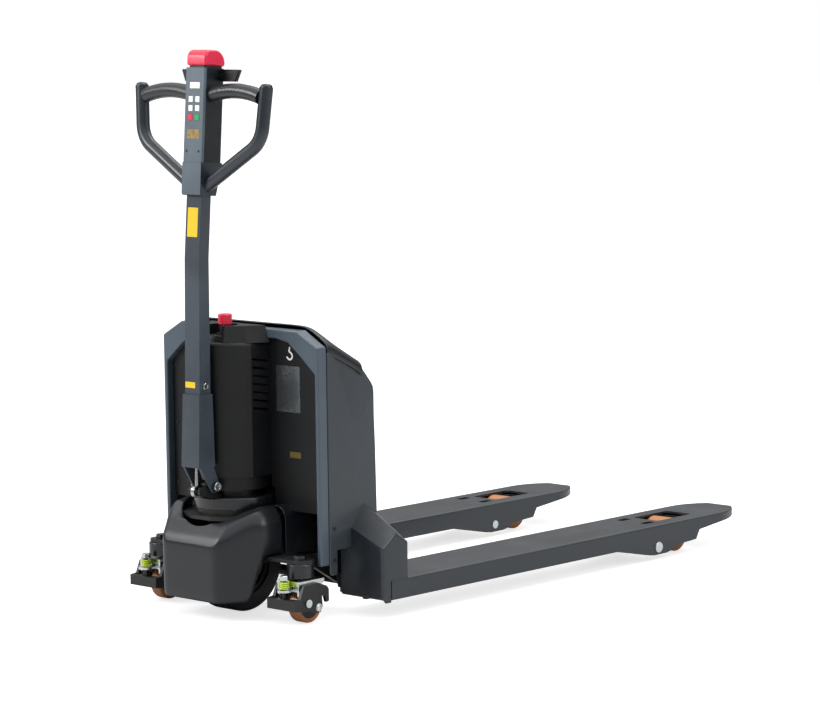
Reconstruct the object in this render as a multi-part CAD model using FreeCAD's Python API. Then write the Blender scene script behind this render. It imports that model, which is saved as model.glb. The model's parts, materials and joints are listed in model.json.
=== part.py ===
"""Electric pallet truck, walk-behind, with a 685 by 1220 mm fork carriage.

The truck is modelled in machine coordinates, in millimetres: x to the operator's right, y from the
operator towards the fork tips with 0 at the root of the fork channels, z up with 0 on the floor.
DATUM then moves everything so that the origin is on the floor, in the middle of the length.
"""
import FreeCAD
import Part
import math
import os

V = FreeCAD.Vector
X_AXIS = V(1, 0, 0)
Y_AXIS = V(0, 1, 0)
Z_AXIS = V(0, 0, 1)

# ---- driving dimensions -------------------------------------------------------------------------
FORK_TIP_Y = 1274.0          # tip of the forks
FRONT_Y = -287.0             # front face of the drive cover
DATUM = V(0, -(FORK_TIP_Y + FRONT_Y) / 2, 0)

FORK_OUT = 342.5             # outer face of the forks
FORK_W = 160.0               # width of one fork
FORK_X = FORK_OUT - FORK_W / 2
FORK_TOP = 84.0              # lowered height of the forks
FORK_SKIRT = 40.0            # lower edge of the fork's side plates
PLATE = 5.0                  # fork top plate
HEEL_STEP = 0.3              # the fork top is this much lower under the heel cover
SIDE = 6.0                   # fork side plate
LIFT = 115.0                 # lift stroke

STEER_Y = -140.0             # steering axis
WHEEL_R = 105.0              # drive wheel
WHEEL_W = 70.0
DRUM_R = 93.0                # turntable drum
DRUM_TOP = 264.0
OPENING_R = 117.0            # round opening in the drive cover
COLUMN_R = 81.5              # round motor column
WALL = 3.5                   # moulded covers

LEVER_Y, LEVER_Z = 929.0, 31.0        # pivot of the load wheel lever
LEVER_L = 124.0
ROLLER_R = 40.0
ROLLER_W = 74.0
EAR_R = 20.0                          # crank radius of the push rod pins
SHAFT_Y, SHAFT_Z = 15.0, 66.0         # torsion shaft in the heels
ARM_L = 110.0                         # lift arms on the torsion shaft
SWING = math.degrees(math.asin((ROLLER_R - LEVER_Z) / LEVER_L)
                     + math.asin((LIFT + LEVER_Z - ROLLER_R) / LEVER_L))
HALF_SWING = math.radians(SWING / 2)

PIVOT_Y, PIVOT_Z = -229.0, 290.0      # tiller pivot
SPRING_TOP = (-249.0, 513.0)          # gas spring pins, y and z
SPRING_LOW = (-258.0, 280.0)
HANDLE_Y, HANDLE_Z = -256.0, 931.0    # lower front edge of the handle's collar
HANDLE_LEAN = 4.3                     # degrees, top away from the operator

CASTER_X, CASTER_Y = 222.0, -162.0    # swivel axis of the right caster
CASTER_R = 37.5
CASTER_AXLE_Y = -150.0
CASTER_PIVOT = (-184.0, 51.0)

HOOD_X = 247.0                        # side panels of the hood
RIM_Y = -123.0                        # front edge of the hood
HOOD_REAR = 58.0
LID_HINGE = (-92.0, 641.0)            # y and z of the lid's hinge roll
RUN = 0.05                            # radial clearance of a pin that turns


# ---- helpers ------------------------------------------------------------------------------------
def box(x0, x1, y0, y1, z0, z1):
    return Part.makeBox(x1 - x0, y1 - y0, z1 - z0, V(x0, y0, z0))


def rod(r, start, axis, length):
    return Part.makeCylinder(r, length, V(*start), axis)


def ring(r_out, r_in, start, axis, length):
    return rod(r_out, start, axis, length).cut(rod(r_in, start, axis, length))


def prism(plane, points, low, high):
    """Extrude an outline: 'x' takes (y, z) points, 'y' takes (x, z) and 'z' takes (x, y)."""
    place = {"x": lambda a, b: V(low, a, b), "y": lambda a, b: V(a, low, b), "z": lambda a, b: V(a, b, low)}
    along = {"x": X_AXIS, "y": Y_AXIS, "z": Z_AXIS}[plane]
    corners = [place[plane](a, b) for a, b in points]
    return Part.Face(Part.makePolygon(corners + corners[:1])).extrude(along * (high - low))


def loft(sections):
    """Straight-sided solid through closed outlines of 3-D points."""
    wires = [Part.makePolygon([V(*p) for p in outline + outline[:1]]) for outline in sections]
    return Part.makeLoft(wires, True, True)


def level(x0, x1, y0, y1, z):
    """A horizontal rectangle, as one section of a loft."""
    return [(x0, y0, z), (x1, y0, z), (x1, y1, z), (x0, y1, z)]


def mirrored(shape):
    return shape.mirror(V(0, 0, 0), X_AXIS)


def both(shape):
    """The shape and its mirror image on the left, as two solids."""
    return Part.makeCompound([shape, mirrored(shape)])


def rounded(shape, radius, pick):
    """Round the edges whose middle satisfies pick(x, y, z)."""
    chosen = []
    for edge in shape.Edges:
        mid = edge.valueAt((edge.FirstParameter + edge.LastParameter) / 2)
        if pick(mid.x, mid.y, mid.z):
            chosen.append(edge)
    return shape.makeFillet(radius, chosen)


def hexagon(width, start, axis_name, length):
    """A hexagon head of the given width across flats."""
    r = width / math.sqrt(3)
    a0, b0 = start[:2]
    points = [(a0 + r * math.cos(math.radians(60 * i)), b0 + r * math.sin(math.radians(60 * i)))
              for i in range(6)]
    return prism(axis_name, points, start[2], start[2] + length)


def save(name, shape):
    shape = shape.copy()
    shape.translate(DATUM)
    shape.exportStep(f"parts/{name}.step")
    print(f"{name:22s} solids {len(shape.Solids):2d} valid {shape.isValid()} "
          f"volume {shape.Volume / 1000:9.1f} cm3")


# ---- base: frame, covers, lift cylinder and caster housings ------------------------------------
def base_frame():
    """Welded frame of the drive unit: plate, cheeks, outriggers, slotted lugs and guide posts."""
    nose = [(128, -190), (96, -219), (60, -235), (30, -248)]
    outline = [(-128, 0)] + [(-x, y) for x, y in nose] + nose[::-1] + [(128, 0)]
    plate = prism("z", outline, 216, 224)
    plate = plate.cut(rod(79.5, (0, STEER_Y, 210), Z_AXIS, 20))
    cheek = box(120, 128, -180, 0, 124, 216)
    outrigger = box(128, 248, -185, -135, 132, 140)
    outrigger = rounded(outrigger, 18, lambda x, y, z: x > 247 and abs(z - 136) < 1)
    outrigger = outrigger.cut(rod(8, (CASTER_X, CASTER_Y, 130), Z_AXIS, 12))
    pin_y, pin_z = lift_pin()
    lug = box(134, 142, -112, -62, 106, 140)
    slot = box(133, 143, pin_y - 18, pin_y + 1, pin_z - 8, pin_z + 8)
    for end_y in (pin_y - 18, pin_y + 1):
        slot = slot.fuse(rod(8, (133, end_y, pin_z), X_AXIS, 10))
    lug = lug.cut(slot)
    web = box(128, 142, -112, -62, 140, 146)
    post = rod(12, (70, -20, 222), Z_AXIS, 162)
    half = cheek.fuse([outrigger, lug, web, post])
    return plate.fuse([half, mirrored(half)]).removeSplitter()


def shroud_solid(inset):
    """Outer form of the drive cover, moved inwards by inset."""
    t = inset
    plan = [(-86 + t / 2, -287 + t), (86 - t / 2, -287 + t), (150 - t, -200 + t / 2),
            (150 - t, -134 + t), (-150 + t, -134 + t), (-150 + t, -200 + t / 2)]
    side = [(-287 + t, 40 - 2 * t), (-287 + t, 166), (-279 + t, 184 - t), (-251 + t, 217 - t),
            (-205, 240 - t), (-165, 250 - t), (-130, 250 - t), (-130, 40 - 2 * t)]
    cross = [(-150 + t, 30), (-150 + t, 212), (-122, 250 - t), (122, 250 - t), (150 - t, 212), (150 - t, 30)]
    solid = prism("z", plan, 20, 260)
    solid = solid.common(prism("x", side, -160, 160))
    return solid.common(prism("y", cross, -300, -120))


def drive_shroud():
    """Front cover of the drive unit: thin shell with a round opening and caster arches."""
    outer = shroud_solid(0)
    outer = rounded(outer, 9, lambda x, y, z: abs(y + 287) < 1 and abs(abs(x) - 86) < 2 and z > 60)
    shell = outer.cut(shroud_solid(WALL))
    shell = shell.cut(rod(OPENING_R, (0, STEER_Y, 150), Z_AXIS, 120))
    shell = shell.cut(box(-146, 146, -137.6, -130, 0, 260))
    arch = [(-130, 0), (-130, 142), (-188, 142), (-202, 118), (-208, 38), (-208, 0)]
    return shell.cut(prism("x", arch, -160, 160))


def shroud_side():
    """Rear side cover of the drive unit, right side."""
    outline = [(129, 224), (141, 224), (150, 214), (150, 138), (146.5, 138), (146.5, 212.6),
               (139.6, 220.5), (129, 220.5)]
    return prism("y", outline, -133.5, -47)


def slewing_ring():
    """Outer race of the steering bearing, bolted on the turntable plate."""
    race = ring(92, 80, (0, STEER_Y, 224), Z_AXIS, 13)
    for i in range(8):
        angle = math.radians(45 * i)
        spot = (86 * math.cos(angle), STEER_Y + 86 * math.sin(angle), 226)
        race = race.cut(rod(3.3, spot, Z_AXIS, 12))
    return race


def lift_cylinder():
    """Barrel of the hydraulic lift cylinder with its gland."""
    barrel = rod(22, (0, -20, 224), Z_AXIS, 138)
    barrel = barrel.cut(rod(17, (0, -20, 227), Z_AXIS, 125))
    return barrel.cut(rod(11 + RUN, (0, -20, 350), Z_AXIS, 13))


def caster_housing():
    """Swivel housing and its king bolt, right side."""
    can = rod(30, (CASTER_X, CASTER_Y, 102), Z_AXIS, 30)
    can = rounded(can, 3, lambda x, y, z: z > 131)
    can = can.cut(rod(8, (CASTER_X, CASTER_Y, 100), Z_AXIS, 34))
    bolt = rod(8, (CASTER_X, CASTER_Y, 86), Z_AXIS, 54)
    bolt = bolt.fuse(hexagon(24, (CASTER_X, CASTER_Y, 140), "z", 9))
    bolt = bolt.fuse(rod(14, (CASTER_X, CASTER_Y, 84), Z_AXIS, 7))
    return [can, bolt]


def caster_housings():
    right = caster_housing()
    return Part.makeCompound(right + [mirrored(piece) for piece in right])


# ---- steering head -------------------------------------------------------------------------------
def turntable():
    """Hub and drum that carry the whole steered drive."""
    hub = rod(78.5, (0, STEER_Y, 212.5), Z_AXIS, 26)
    drum = rod(DRUM_R, (0, STEER_Y, 238), Z_AXIS, DRUM_TOP - 238)
    drum = rounded(drum, 4, lambda x, y, z: z > DRUM_TOP - 1)
    return hub.fuse(drum).removeSplitter()


def drive_motor():
    """Vertical drive motor with cooling grooves, inside the column."""
    body = rod(58, (0, STEER_Y, DRUM_TOP), Z_AXIS, 146)
    for i in range(8):
        body = body.cut(ring(60, 54, (0, STEER_Y, 292 + 12 * i), Z_AXIS, 5))
    return body.fuse(rod(34, (0, STEER_Y, 410), Z_AXIS, 18))


def gear_case():
    """Gear housing on the left of the drive wheel."""
    case = box(-74, -39, STEER_Y - 46, STEER_Y + 46, WHEEL_R, 212.5)
    case = case.fuse(rod(46, (-74, STEER_Y, WHEEL_R), X_AXIS, 35))
    return case.removeSplitter()


def wheel_yoke():
    """Right-hand arm of the drive wheel fork and the drive axle."""
    arm = box(40, 54, STEER_Y - 28, STEER_Y + 28, WHEEL_R, 212.5)
    arm = arm.fuse(rod(28, (40, STEER_Y, WHEEL_R), X_AXIS, 14)).removeSplitter()
    arm = arm.cut(rod(12, (38, STEER_Y, WHEEL_R), X_AXIS, 20))
    axle = rod(12, (-39, STEER_Y, WHEEL_R), X_AXIS, 97)
    return Part.makeCompound([arm, axle])


def tiller_bracket():
    """Ears on the turntable that hold the tiller pivot and the lower spring pin."""
    foot = box(-19, 19, -230, -200, DRUM_TOP, 271)
    low_y, low_z = SPRING_LOW
    outline = [(-216, 271), (-217, 294), (-224, 301), (-234, 301), (-241, 296), (low_y - 9, low_z + 5),
               (low_y - 9, low_z - 6), (-250, 268), (-228, DRUM_TOP), (-218, DRUM_TOP)]
    ear = prism("x", outline, 13, 19)
    pin = rod(7, (-34, PIVOT_Y, PIVOT_Z), X_AXIS, 68)
    stud = rod(4, (-19, low_y, low_z), X_AXIS, 38)
    heads = []
    for side in (-38, 30):
        heads.append(rod(10, (side, PIVOT_Y, PIVOT_Z), X_AXIS, 8))
    return foot.fuse([ear, mirrored(ear), pin, stud] + heads).removeSplitter()


def drive_hub():
    hub = rod(68, (-30, STEER_Y, WHEEL_R), X_AXIS, 60)
    hub = hub.cut(rod(12 + RUN, (-40, STEER_Y, WHEEL_R), X_AXIS, 80))
    for side in (-31, 21):
        hub = hub.cut(ring(58, 26, (side, STEER_Y, WHEEL_R), X_AXIS, 10))
    return hub


def drive_tyre():
    tyre = rod(WHEEL_R, (-WHEEL_W / 2, STEER_Y, WHEEL_R), X_AXIS, WHEEL_W)
    tyre = rounded(tyre, 5, lambda x, y, z: abs(abs(x) - WHEEL_W / 2) < 1)
    return tyre.cut(rod(68, (-40, STEER_Y, WHEEL_R), X_AXIS, 80))


# ---- tiller --------------------------------------------------------------------------------------
def tiller_sleeve():
    """Folded lower sleeve of the tiller with its two pivot cheeks."""
    outer = loft([level(-28, 28, -276, -227, 335), level(-26.5, 26.5, -269, -229.5, 495)])
    inner = loft([level(-24, 24, -272, -231, 330), level(-23.3, 23.3, -266.3, -231.5, 500)])
    sleeve = outer.cut(inner)
    cheek = prism("x", [(-272, 335), (-232, 335), (PIVOT_Y + 13, 296), (PIVOT_Y + 12, 283),
                        (PIVOT_Y + 4, 277), (PIVOT_Y - 8, 277), (PIVOT_Y - 14, 286)], 24.2, 28)
    cheek = cheek.cut(rod(7 + RUN, (20, PIVOT_Y, PIVOT_Z), X_AXIS, 12))
    return sleeve.fuse([cheek, mirrored(cheek)]).removeSplitter()


def pole_sections(inset):
    t = inset
    return [level(-23 + t, 23 - t, -265.6 + t, -232.2 - t, 462),
            level(-23 + t, 23 - t, -258 + t, -229 - t, 793),
            level(-23 + t, 23 - t, -246 + t, -217 - t, 948)]


def tiller_tube():
    """Square pole with a slight bend, and the upper spring pin through it."""
    pole = loft(pole_sections(0)).cut(loft(pole_sections(3)))
    top_y, top_z = SPRING_TOP
    pin = rod(4, (-23, top_y, top_z), X_AXIS, 46)
    head = rod(7, (23, top_y, top_z), X_AXIS, 5)
    return pole.fuse([pin, head, mirrored(head)]).removeSplitter()


def lean(shape):
    """Tip a handle piece, drawn upright, to the lean of the real handle."""
    shape.rotate(V(0, HANDLE_Y, HANDLE_Z), X_AXIS, -HANDLE_LEAN)
    return shape


LOOP_Y = -231.0              # middle plane of the handle loops
LOOP_TOP = (197.0, 1168.0)   # x and z of the loop's centre line
LOOP_CORNER = (187.0, 1051.0)
LOOP_FOOT = (14.0, 947.0)
LOOP_BEND = 62.0


def loop_path(top, corner, foot, radius):
    """Line, tangent arc and line through three points in the loop's plane."""
    a, b, c = (V(p[0], LOOP_Y, p[1]) for p in (top, corner, foot))
    u = (a - b).normalize()
    w = (c - b).normalize()
    half = u.getAngle(w) / 2
    reach = radius / math.tan(half)
    start = b + u * reach
    end = b + w * reach
    mid = b + (u + w).normalize() * (radius / math.sin(half) - radius)
    edges = [Part.LineSegment(a, start), Part.Arc(start, mid, end), Part.LineSegment(end, c)]
    return Part.Wire([edge.toShape() for edge in edges])


def swept(path, radius):
    start = path.Edges[0]
    direction = start.tangentAt(start.FirstParameter)
    circle = Part.Wire([Part.Circle(start.valueAt(start.FirstParameter), direction, radius).toShape()])
    return path.makePipeShell([circle], True, True)


def handle_frame():
    """Cast loops and neck of the handle."""
    arm = swept(loop_path(LOOP_TOP, LOOP_CORNER, LOOP_FOOT, LOOP_BEND), 15)
    neck = loft([level(-28, 28, -256, -208, 931), level(-30, 30, -256, -203, 962),
                 level(-31, 31, -256, -195, 1003)])
    neck = neck.fuse([arm, mirrored(arm)]).removeSplitter()
    bore = loft([[(p[0] * 1.01, p[1], p[2]) for p in section] for section in pole_sections(0)])
    tilt_back = bore.copy()
    tilt_back.rotate(V(0, HANDLE_Y, HANDLE_Z), X_AXIS, HANDLE_LEAN)
    return lean(neck.cut(tilt_back))


def handle_grips():
    """Bowed hand grips between the head and the loops."""
    ends = [V(35, LOOP_Y, 1151), V(108, LOOP_Y, 1159), V(181.5, LOOP_Y, 1147)]
    path = Part.Wire([Part.Arc(*ends).toShape()])
    grip = lean(swept(path, 16.5))
    for neighbour in (handle_frame(), handle_head()):
        grip = grip.cut(neighbour)
    return both(grip)


def handle_head():
    """Head housing that holds the switches, with round roots for the grips."""
    head = box(-30, 30, -250, -194, 1003, 1208)
    head = rounded(head, 10, lambda x, y, z: y > -195 and abs(abs(x) - 30) < 1)
    root = rod(19, (28, LOOP_Y + 2, 1151), X_AXIS, 7)
    head = head.fuse([root, mirrored(root)])
    head = head.cut(rod(7.4, (-40, -207, 1191), X_AXIS, 80))
    return lean(head)


KEY_SIZE = 13.0
KEY_X = 10.5
KEY_ROWS = (1139.5, 1120.0, 1100.0)
KEY_NAMES = (("key_horn", "key_slow"), ("key_raise", "key_lower"), ("key_off", "key_on"))


def key_spots():
    for row, pair in zip(KEY_ROWS, KEY_NAMES):
        for side, name in zip((-1, 1), pair):
            yield name, side * KEY_X, row


def handle_fascia():
    """Front strip of the handle with pockets for the six keys."""
    strip = box(-30, 30, HANDLE_Y, -250, 1003, 1208)
    strip = rounded(strip, 3, lambda x, y, z: y < HANDLE_Y + 1 and abs(abs(x) - 30) < 1)
    pocket = KEY_SIZE / 2 + 0.4
    for _, x, z in key_spots():
        strip = strip.cut(box(x - pocket, x + pocket, HANDLE_Y - 1, HANDLE_Y + 4, z - pocket, z + pocket))
    strip = strip.cut(box(-16, 16, HANDLE_Y - 1, HANDLE_Y + 0.8, 1162, 1177))
    for side in (-19, 19):
        strip = strip.cut(rod(3, (side, HANDLE_Y - 1, 1027), Y_AXIS, 5))
    return lean(strip)


def key_cap(x, z):
    half = KEY_SIZE / 2
    cap = box(x - half, x + half, HANDLE_Y - 1.2, HANDLE_Y + 2.6, z - half, z + half)
    cap = rounded(cap, 1, lambda ex, ey, ez: ey < HANDLE_Y - 1)
    return lean(cap)


def reverse_button():
    """Arched safety button on top of the handle."""
    a, b = V(30, -255, 0), V(30, -195, 0)
    low, high = 1212.5, 1247.0
    face = [Part.LineSegment(V(-30, a.y, low), V(-30, a.y, low + 19)),
            Part.Arc(V(-30, a.y, low + 19), V(-30, a.y + 6, high - 4), V(-30, a.y + 18, high)),
            Part.LineSegment(V(-30, a.y + 18, high), V(-30, b.y - 24, high)),
            Part.Arc(V(-30, b.y - 24, high), V(-30, b.y - 8, high - 9), V(-30, b.y, low + 8)),
            Part.LineSegment(V(-30, b.y, low + 8), V(-30, b.y, low)),
            Part.LineSegment(V(-30, b.y, low), V(-30, a.y, low))]
    outline = Part.Wire([piece.toShape() for piece in face])
    return lean(Part.Face(outline).extrude(V(60, 0, 0)))


def throttle_flaps():
    """Two thumb paddles on one shaft through the head."""
    shaft = rod(7, (-40, -207, 1191), X_AXIS, 80)
    wing = [(33, 1180), (80, 1180), (92, 1206), (33, 1206)]
    paddle = prism("y", wing, -212, -202)
    paddle = rounded(paddle, 3, lambda x, y, z: x > 80)
    return lean(shaft.fuse([paddle, mirrored(paddle)]).removeSplitter())


def spring_angle():
    """Lean of the gas spring from the vertical, in radians."""
    return math.atan2(SPRING_LOW[0] - SPRING_TOP[0], SPRING_TOP[1] - SPRING_LOW[1])


def along_spring(shape):
    """Place a spring piece, drawn hanging from the origin, on its upper pin."""
    shape.rotate(V(0, 0, 0), X_AXIS, math.degrees(spring_angle()))
    shape.translate(V(0, SPRING_TOP[0], SPRING_TOP[1]))
    return shape


SPRING_LENGTH = math.dist(SPRING_TOP, SPRING_LOW)


def spring_cylinder():
    """Cylinder of the gas spring, hung from the upper pin."""
    body = rod(9, (0, 0, -118), Z_AXIS, 112)
    eye = rod(9, (-6, 0, 0), X_AXIS, 12)
    body = body.fuse(eye).removeSplitter()
    body = body.cut(rod(4 + RUN, (-8, 0, 0), X_AXIS, 16))
    return along_spring(body.cut(rod(4 + RUN, (0, 0, -120), Z_AXIS, 102)))


def spring_rod():
    """Rod of the gas spring with an open eye over the lower pin."""
    bar = rod(4, (0, 0, 12 - SPRING_LENGTH), Z_AXIS, SPRING_LENGTH - 12 - 80)
    eye = rod(14, (-5, 0, -SPRING_LENGTH), X_AXIS, 10)
    bar = bar.fuse(eye).removeSplitter()
    return along_spring(bar.cut(rod(10, (-6, 0, -SPRING_LENGTH), X_AXIS, 12)))


# ---- fork carriage -------------------------------------------------------------------------------
def fork():
    """Right-hand fork: folded channel with a wide rounded tip, roller window and lever lobes."""
    x0, x1 = FORK_OUT - FORK_W, FORK_OUT
    side = [(0, FORK_TOP), (0, FORK_SKIRT), (774, FORK_SKIRT), (895, 15), (916, 12.5), (962, 13),
            (980, 17), (1000, 27), (1076, 31), (1090, 53), (1180, 62), (1262, 67), (FORK_TIP_Y, 74),
            (FORK_TIP_Y, FORK_TOP)]
    body = prism("x", side, x0, x1)
    tip = FORK_TIP_Y - 1
    corner = [Part.LineSegment(V(x0, -1, 0), V(x1, -1, 0)),
              Part.LineSegment(V(x1, -1, 0), V(x1, 1165, 0)),
              Part.Arc(V(x1, 1165, 0), V(x1 - 11, 1226, 0), V(x1 - 44, tip, 0)),
              Part.LineSegment(V(x1 - 44, tip, 0), V(x0 + 44, tip, 0)),
              Part.Arc(V(x0 + 44, tip, 0), V(x0 + 11, 1226, 0), V(x0, 1165, 0)),
              Part.LineSegment(V(x0, 1165, 0), V(x0, -1, 0))]
    outline = Part.Wire([piece.toShape() for piece in corner])
    body = body.common(Part.Face(outline).extrude(V(0, 0, 100)))
    body = rounded(body, 4, lambda x, y, z: z > FORK_TOP - 1 and 2 < y)
    body = body.cut(box(x0 + SIDE, x1 - SIDE, -1, 1084, 0, FORK_TOP - PLATE))
    body = body.cut(box(x0 - 1, x1 + 1, -2, HOOD_REAR, FORK_TOP - HEEL_STEP, FORK_TOP + 1))
    body = body.cut(box(x0 + 22, x1 - 22, 1090, 1225, 74, FORK_TOP - PLATE))
    window = box(FORK_X - 38.5, FORK_X + 38.5, 978, 1110, 30, 90)
    window = rounded(window, 10, lambda x, y, z: abs(abs(x - FORK_X) - 38.5) < 1 and abs(z - 60) < 1)
    body = body.cut(window)
    for offset in (-36.5, 36.5):
        hole = box(FORK_X + offset - 10, FORK_X + offset + 10, 923, 959, 70, 90)
        body = body.cut(rounded(hole, 4, lambda x, y, z: abs(z - 80) < 1))
    body = body.cut(rod(10, (x0 - 1, LEVER_Y, LEVER_Z), X_AXIS, FORK_W + 2))
    return body.cut(rod(12.5, (x0 - 1, SHAFT_Y, SHAFT_Z), X_AXIS, 10))


def lever_bolts():
    """Pivot bolts of the load wheel levers, through both fork sides."""
    bolt = rod(10, (FORK_OUT - FORK_W - 2, LEVER_Y, LEVER_Z), X_AXIS, FORK_W + 2)
    head = rod(13, (FORK_OUT, LEVER_Y, LEVER_Z), X_AXIS, 4)
    head = rounded(head, 1.5, lambda x, y, z: x > FORK_OUT + 3)
    return both(bolt.fuse(head).removeSplitter())


def upright():
    """Side plate of the carriage weldment, beside the fork root, right side."""
    outline = [(-40, 200), (-40, 400), (40, 400), (50, 300), (50, 84), (34, 50), (0, 50), (-6, 84)]
    plate = prism("x", outline, 176, 182)
    return plate.cut(rod(12 + RUN, (170, SHAFT_Y, SHAFT_Z), X_AXIS, 20))


def fork_frame():
    """Carriage weldment: heel plates, uprights, lower guide plate and crosshead."""
    heel_plate = box(-334, 334, 40, 50, FORK_TOP - HEEL_STEP, 140)
    back = box(-176, 176, 40, 50, 140, 300)
    guide = box(-176, 176, -38, 40, 236, 246)
    head = box(-176, 176, -38, 40, 374, 386)
    sides = upright()
    frame = heel_plate.fuse([back, guide, head, sides, mirrored(sides)]).removeSplitter()
    for side in (-70, 70):
        frame = frame.cut(rod(12 + RUN, (side, -20, 230), Z_AXIS, 160))
    return frame.cut(rod(24, (0, -20, 230), Z_AXIS, 20))


def lift_rod():
    """Rod and piston of the lift cylinder, fixed under the crosshead."""
    return rod(11, (0, -20, 228), Z_AXIS, 146).fuse(rod(16.95, (0, -20, 228), Z_AXIS, 8))


def heel_section(x, inset):
    """Outline of the heel cover at one x; its crest falls from the hood to the outer face."""
    t = inset
    fall = (x - 214) / (341 - 214)
    front_top = 209 - 52 * fall
    crest = 264 - 77 * fall
    rear_top = 236 - 76 * fall
    return [(x, -27 + t, 46 - 2 * t), (x, -27 + t, front_top - t), (x, 16, crest - t),
            (x, 57 - t, rear_top - t), (x, 57 - t, 35 - 2 * t), (x, -17 + t, 35 - 2 * t)]


def heel_cover():
    """Moulded cover of the right-hand fork heel."""
    outer = loft([heel_section(214, 0), heel_section(341, 0)])
    outer = rounded(outer, 7, lambda x, y, z: x > 340 and z > 50)
    inner = loft([heel_section(210, WALL), heel_section(341 - WALL, WALL)])
    shell = outer.cut(inner)
    passage = box(FORK_OUT - FORK_W - 1, FORK_OUT + 1, -1, 60, 30, FORK_TOP + 0.2)
    return shell.cut(passage)


def side_panel():
    """Right-hand side panel of the hood, cut out around the heel."""
    outline = [(-94.5, 100), (-94.5, 592), (0, 547), (50, 511), (HOOD_REAR - 1, 500), (HOOD_REAR, 488),
               (HOOD_REAR, 240), (30, 246), (20, 268), (-22, 268), (-70, 222), (-71, 96), (-88, 96)]
    return prism("x", outline, HOOD_X - 6, HOOD_X)


def front_rim():
    """Frame around the mouth of the hood."""
    outer = [(-HOOD_X, 120), (-HOOD_X, 600), (-186, 634), (186, 634), (HOOD_X, 600), (HOOD_X, 120)]
    arch = [(235, 100), (235, 541), (190, 579), (155, 605), (118, 613)]
    inner = [(-x, z) for x, z in arch] + [(x, z) for x, z in reversed(arch)]
    rim = prism("y", outer, RIM_Y, -95)
    return rim.cut(prism("y", inner, RIM_Y - 1, -90))


def front_cover():
    """Recessed front wall of the hood on both sides of the column."""
    arch = [(234.5, 232), (234.5, 540), (190, 578), (155, 604), (118, 612)]
    outline = [(-x, z) for x, z in arch] + [(x, z) for x, z in reversed(arch)]
    wall = prism("y", outline, -106, -102)
    wall = wall.cut(box(-80.4, 80.4, -110, -100, 200, 607))
    return wall.cut(rod(97, (0, STEER_Y, 220), Z_AXIS, 60))


def column_plan(radius, half, front):
    """Plan outline of the column: round nose and straight sides."""
    theta = math.acos((STEER_Y - front) / radius)
    a = V(radius * math.sin(theta), front, 0)
    tip = V(0, STEER_Y - radius, 0)
    b = V(-a.x, front, 0)
    edges = [Part.Arc(b, tip, a), Part.LineSegment(a, V(half, front + 8, 0)),
             Part.LineSegment(V(half, front + 8, 0), V(half, -102, 0)),
             Part.LineSegment(V(half, -102, 0), V(-half, -102, 0)),
             Part.LineSegment(V(-half, -102, 0), V(-half, front + 8, 0)),
             Part.LineSegment(V(-half, front + 8, 0), b)]
    return Part.Wire([edge.toShape() for edge in edges])


SLOT_COUNT = 7
SLOT_PITCH = 18.0


def column_cover():
    """Round motor column with louvres, lower collar and the nose that carries the stop button."""
    outer = Part.Face(column_plan(COLUMN_R, 80, -170)).extrude(V(0, 0, 298))
    outer.translate(V(0, 0, 308))
    outer = rounded(outer, 10, lambda x, y, z: z > 605 and y < -104)
    inner = Part.Face(column_plan(COLUMN_R - WALL, 76.5, -168)).extrude(V(0, 0, 295))
    inner.translate(V(0, 0, 306))
    shell = outer.cut(inner).cut(box(-76.5, 76.5, -108, -100, 300, 601))
    collar = ring(76, 70, (0, STEER_Y, 279), Z_AXIS, 31).cut(box(-90, 90, -106, -50, 270, 320))
    shelf = ring(79, 70, (0, STEER_Y, 308), Z_AXIS, 4).cut(box(-90, 90, -106, -50, 270, 320))
    nose = loft([[(-107, -107, 604), (-75, -166, 604), (-40, -206, 604), (40, -206, 604),
                  (75, -166, 604), (107, -107, 604)],
                 [(-96, -107, 641), (-60, -162, 641), (-32, -194, 641), (32, -194, 641),
                  (60, -162, 641), (96, -107, 641)]])
    recess = rod(34, (0, -170, 619), Z_AXIS, 30).fuse(box(-30, 30, -215, -186, 619, 649))
    nose = nose.cut(recess.removeSplitter())
    nose = nose.cut(box(-120, 120, RIM_Y, -90, 590, 650))
    shell = shell.fuse([collar, shelf, nose]).removeSplitter()
    shell = shell.cut(rod(12, (0, -162, 590), Z_AXIS, 40))
    for i in range(SLOT_COUNT):
        z = 452 + SLOT_PITCH * i
        slot = prism("x", [(-158, z + 6), (-112, z - 2), (-112, z + 3), (-158, z + 11)], 70, 90)
        shell = shell.cut(slot).cut(mirrored(slot))
    return shell


def rear_cover():
    """Rear wall of the hood behind the battery, bent forward under the lid."""
    outline = [(52, 266), (52, 488), (46, 508), (20, 530), (20, 546), (50, 510), (56, 500),
               (HOOD_REAR, 488), (HOOD_REAR, 266)]
    wall = prism("x", outline, -240.5, 240.5)
    return wall.fuse(box(-212, 212, 52, HOOD_REAR, 145, 266)).removeSplitter()


def lid_section(x, top, drop):
    """Outline of the battery lid at one x."""
    return [(x, -92, 598), (x, -92, top), (x, -78, top - 2), (x, 18 - drop, 572 - drop),
            (x, 18 - drop, 548 + drop / 3)]


def battery_lid():
    """Chamfered lid over the battery bay, with a hinge roll along its front edge."""
    outer = loft([lid_section(-246, 612, 14), lid_section(-186, 644, 0),
                  lid_section(186, 644, 0), lid_section(246, 612, 14)])
    core = loft([[(x, -88, 590), (x, -88, top), (x, -79, top - 2), (x, 12 - drop, 563 - drop),
                  (x, 12 - drop, 530)]
                 for x, top, drop in ((-242, 608, 14), (-185, 639, 0), (185, 639, 0), (242, 608, 14))])
    roll = rod(3, (-180, *LID_HINGE), X_AXIS, 360)
    return outer.cut(core).fuse(roll).removeSplitter()


def battery_pack():
    pack = box(-150, 150, -72, 18, 386, 526)
    handle = box(-45, 45, -36, -18, 526, 540).cut(box(-35, 35, -37, -17, 525, 534))
    return pack.fuse(handle).removeSplitter()


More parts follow.
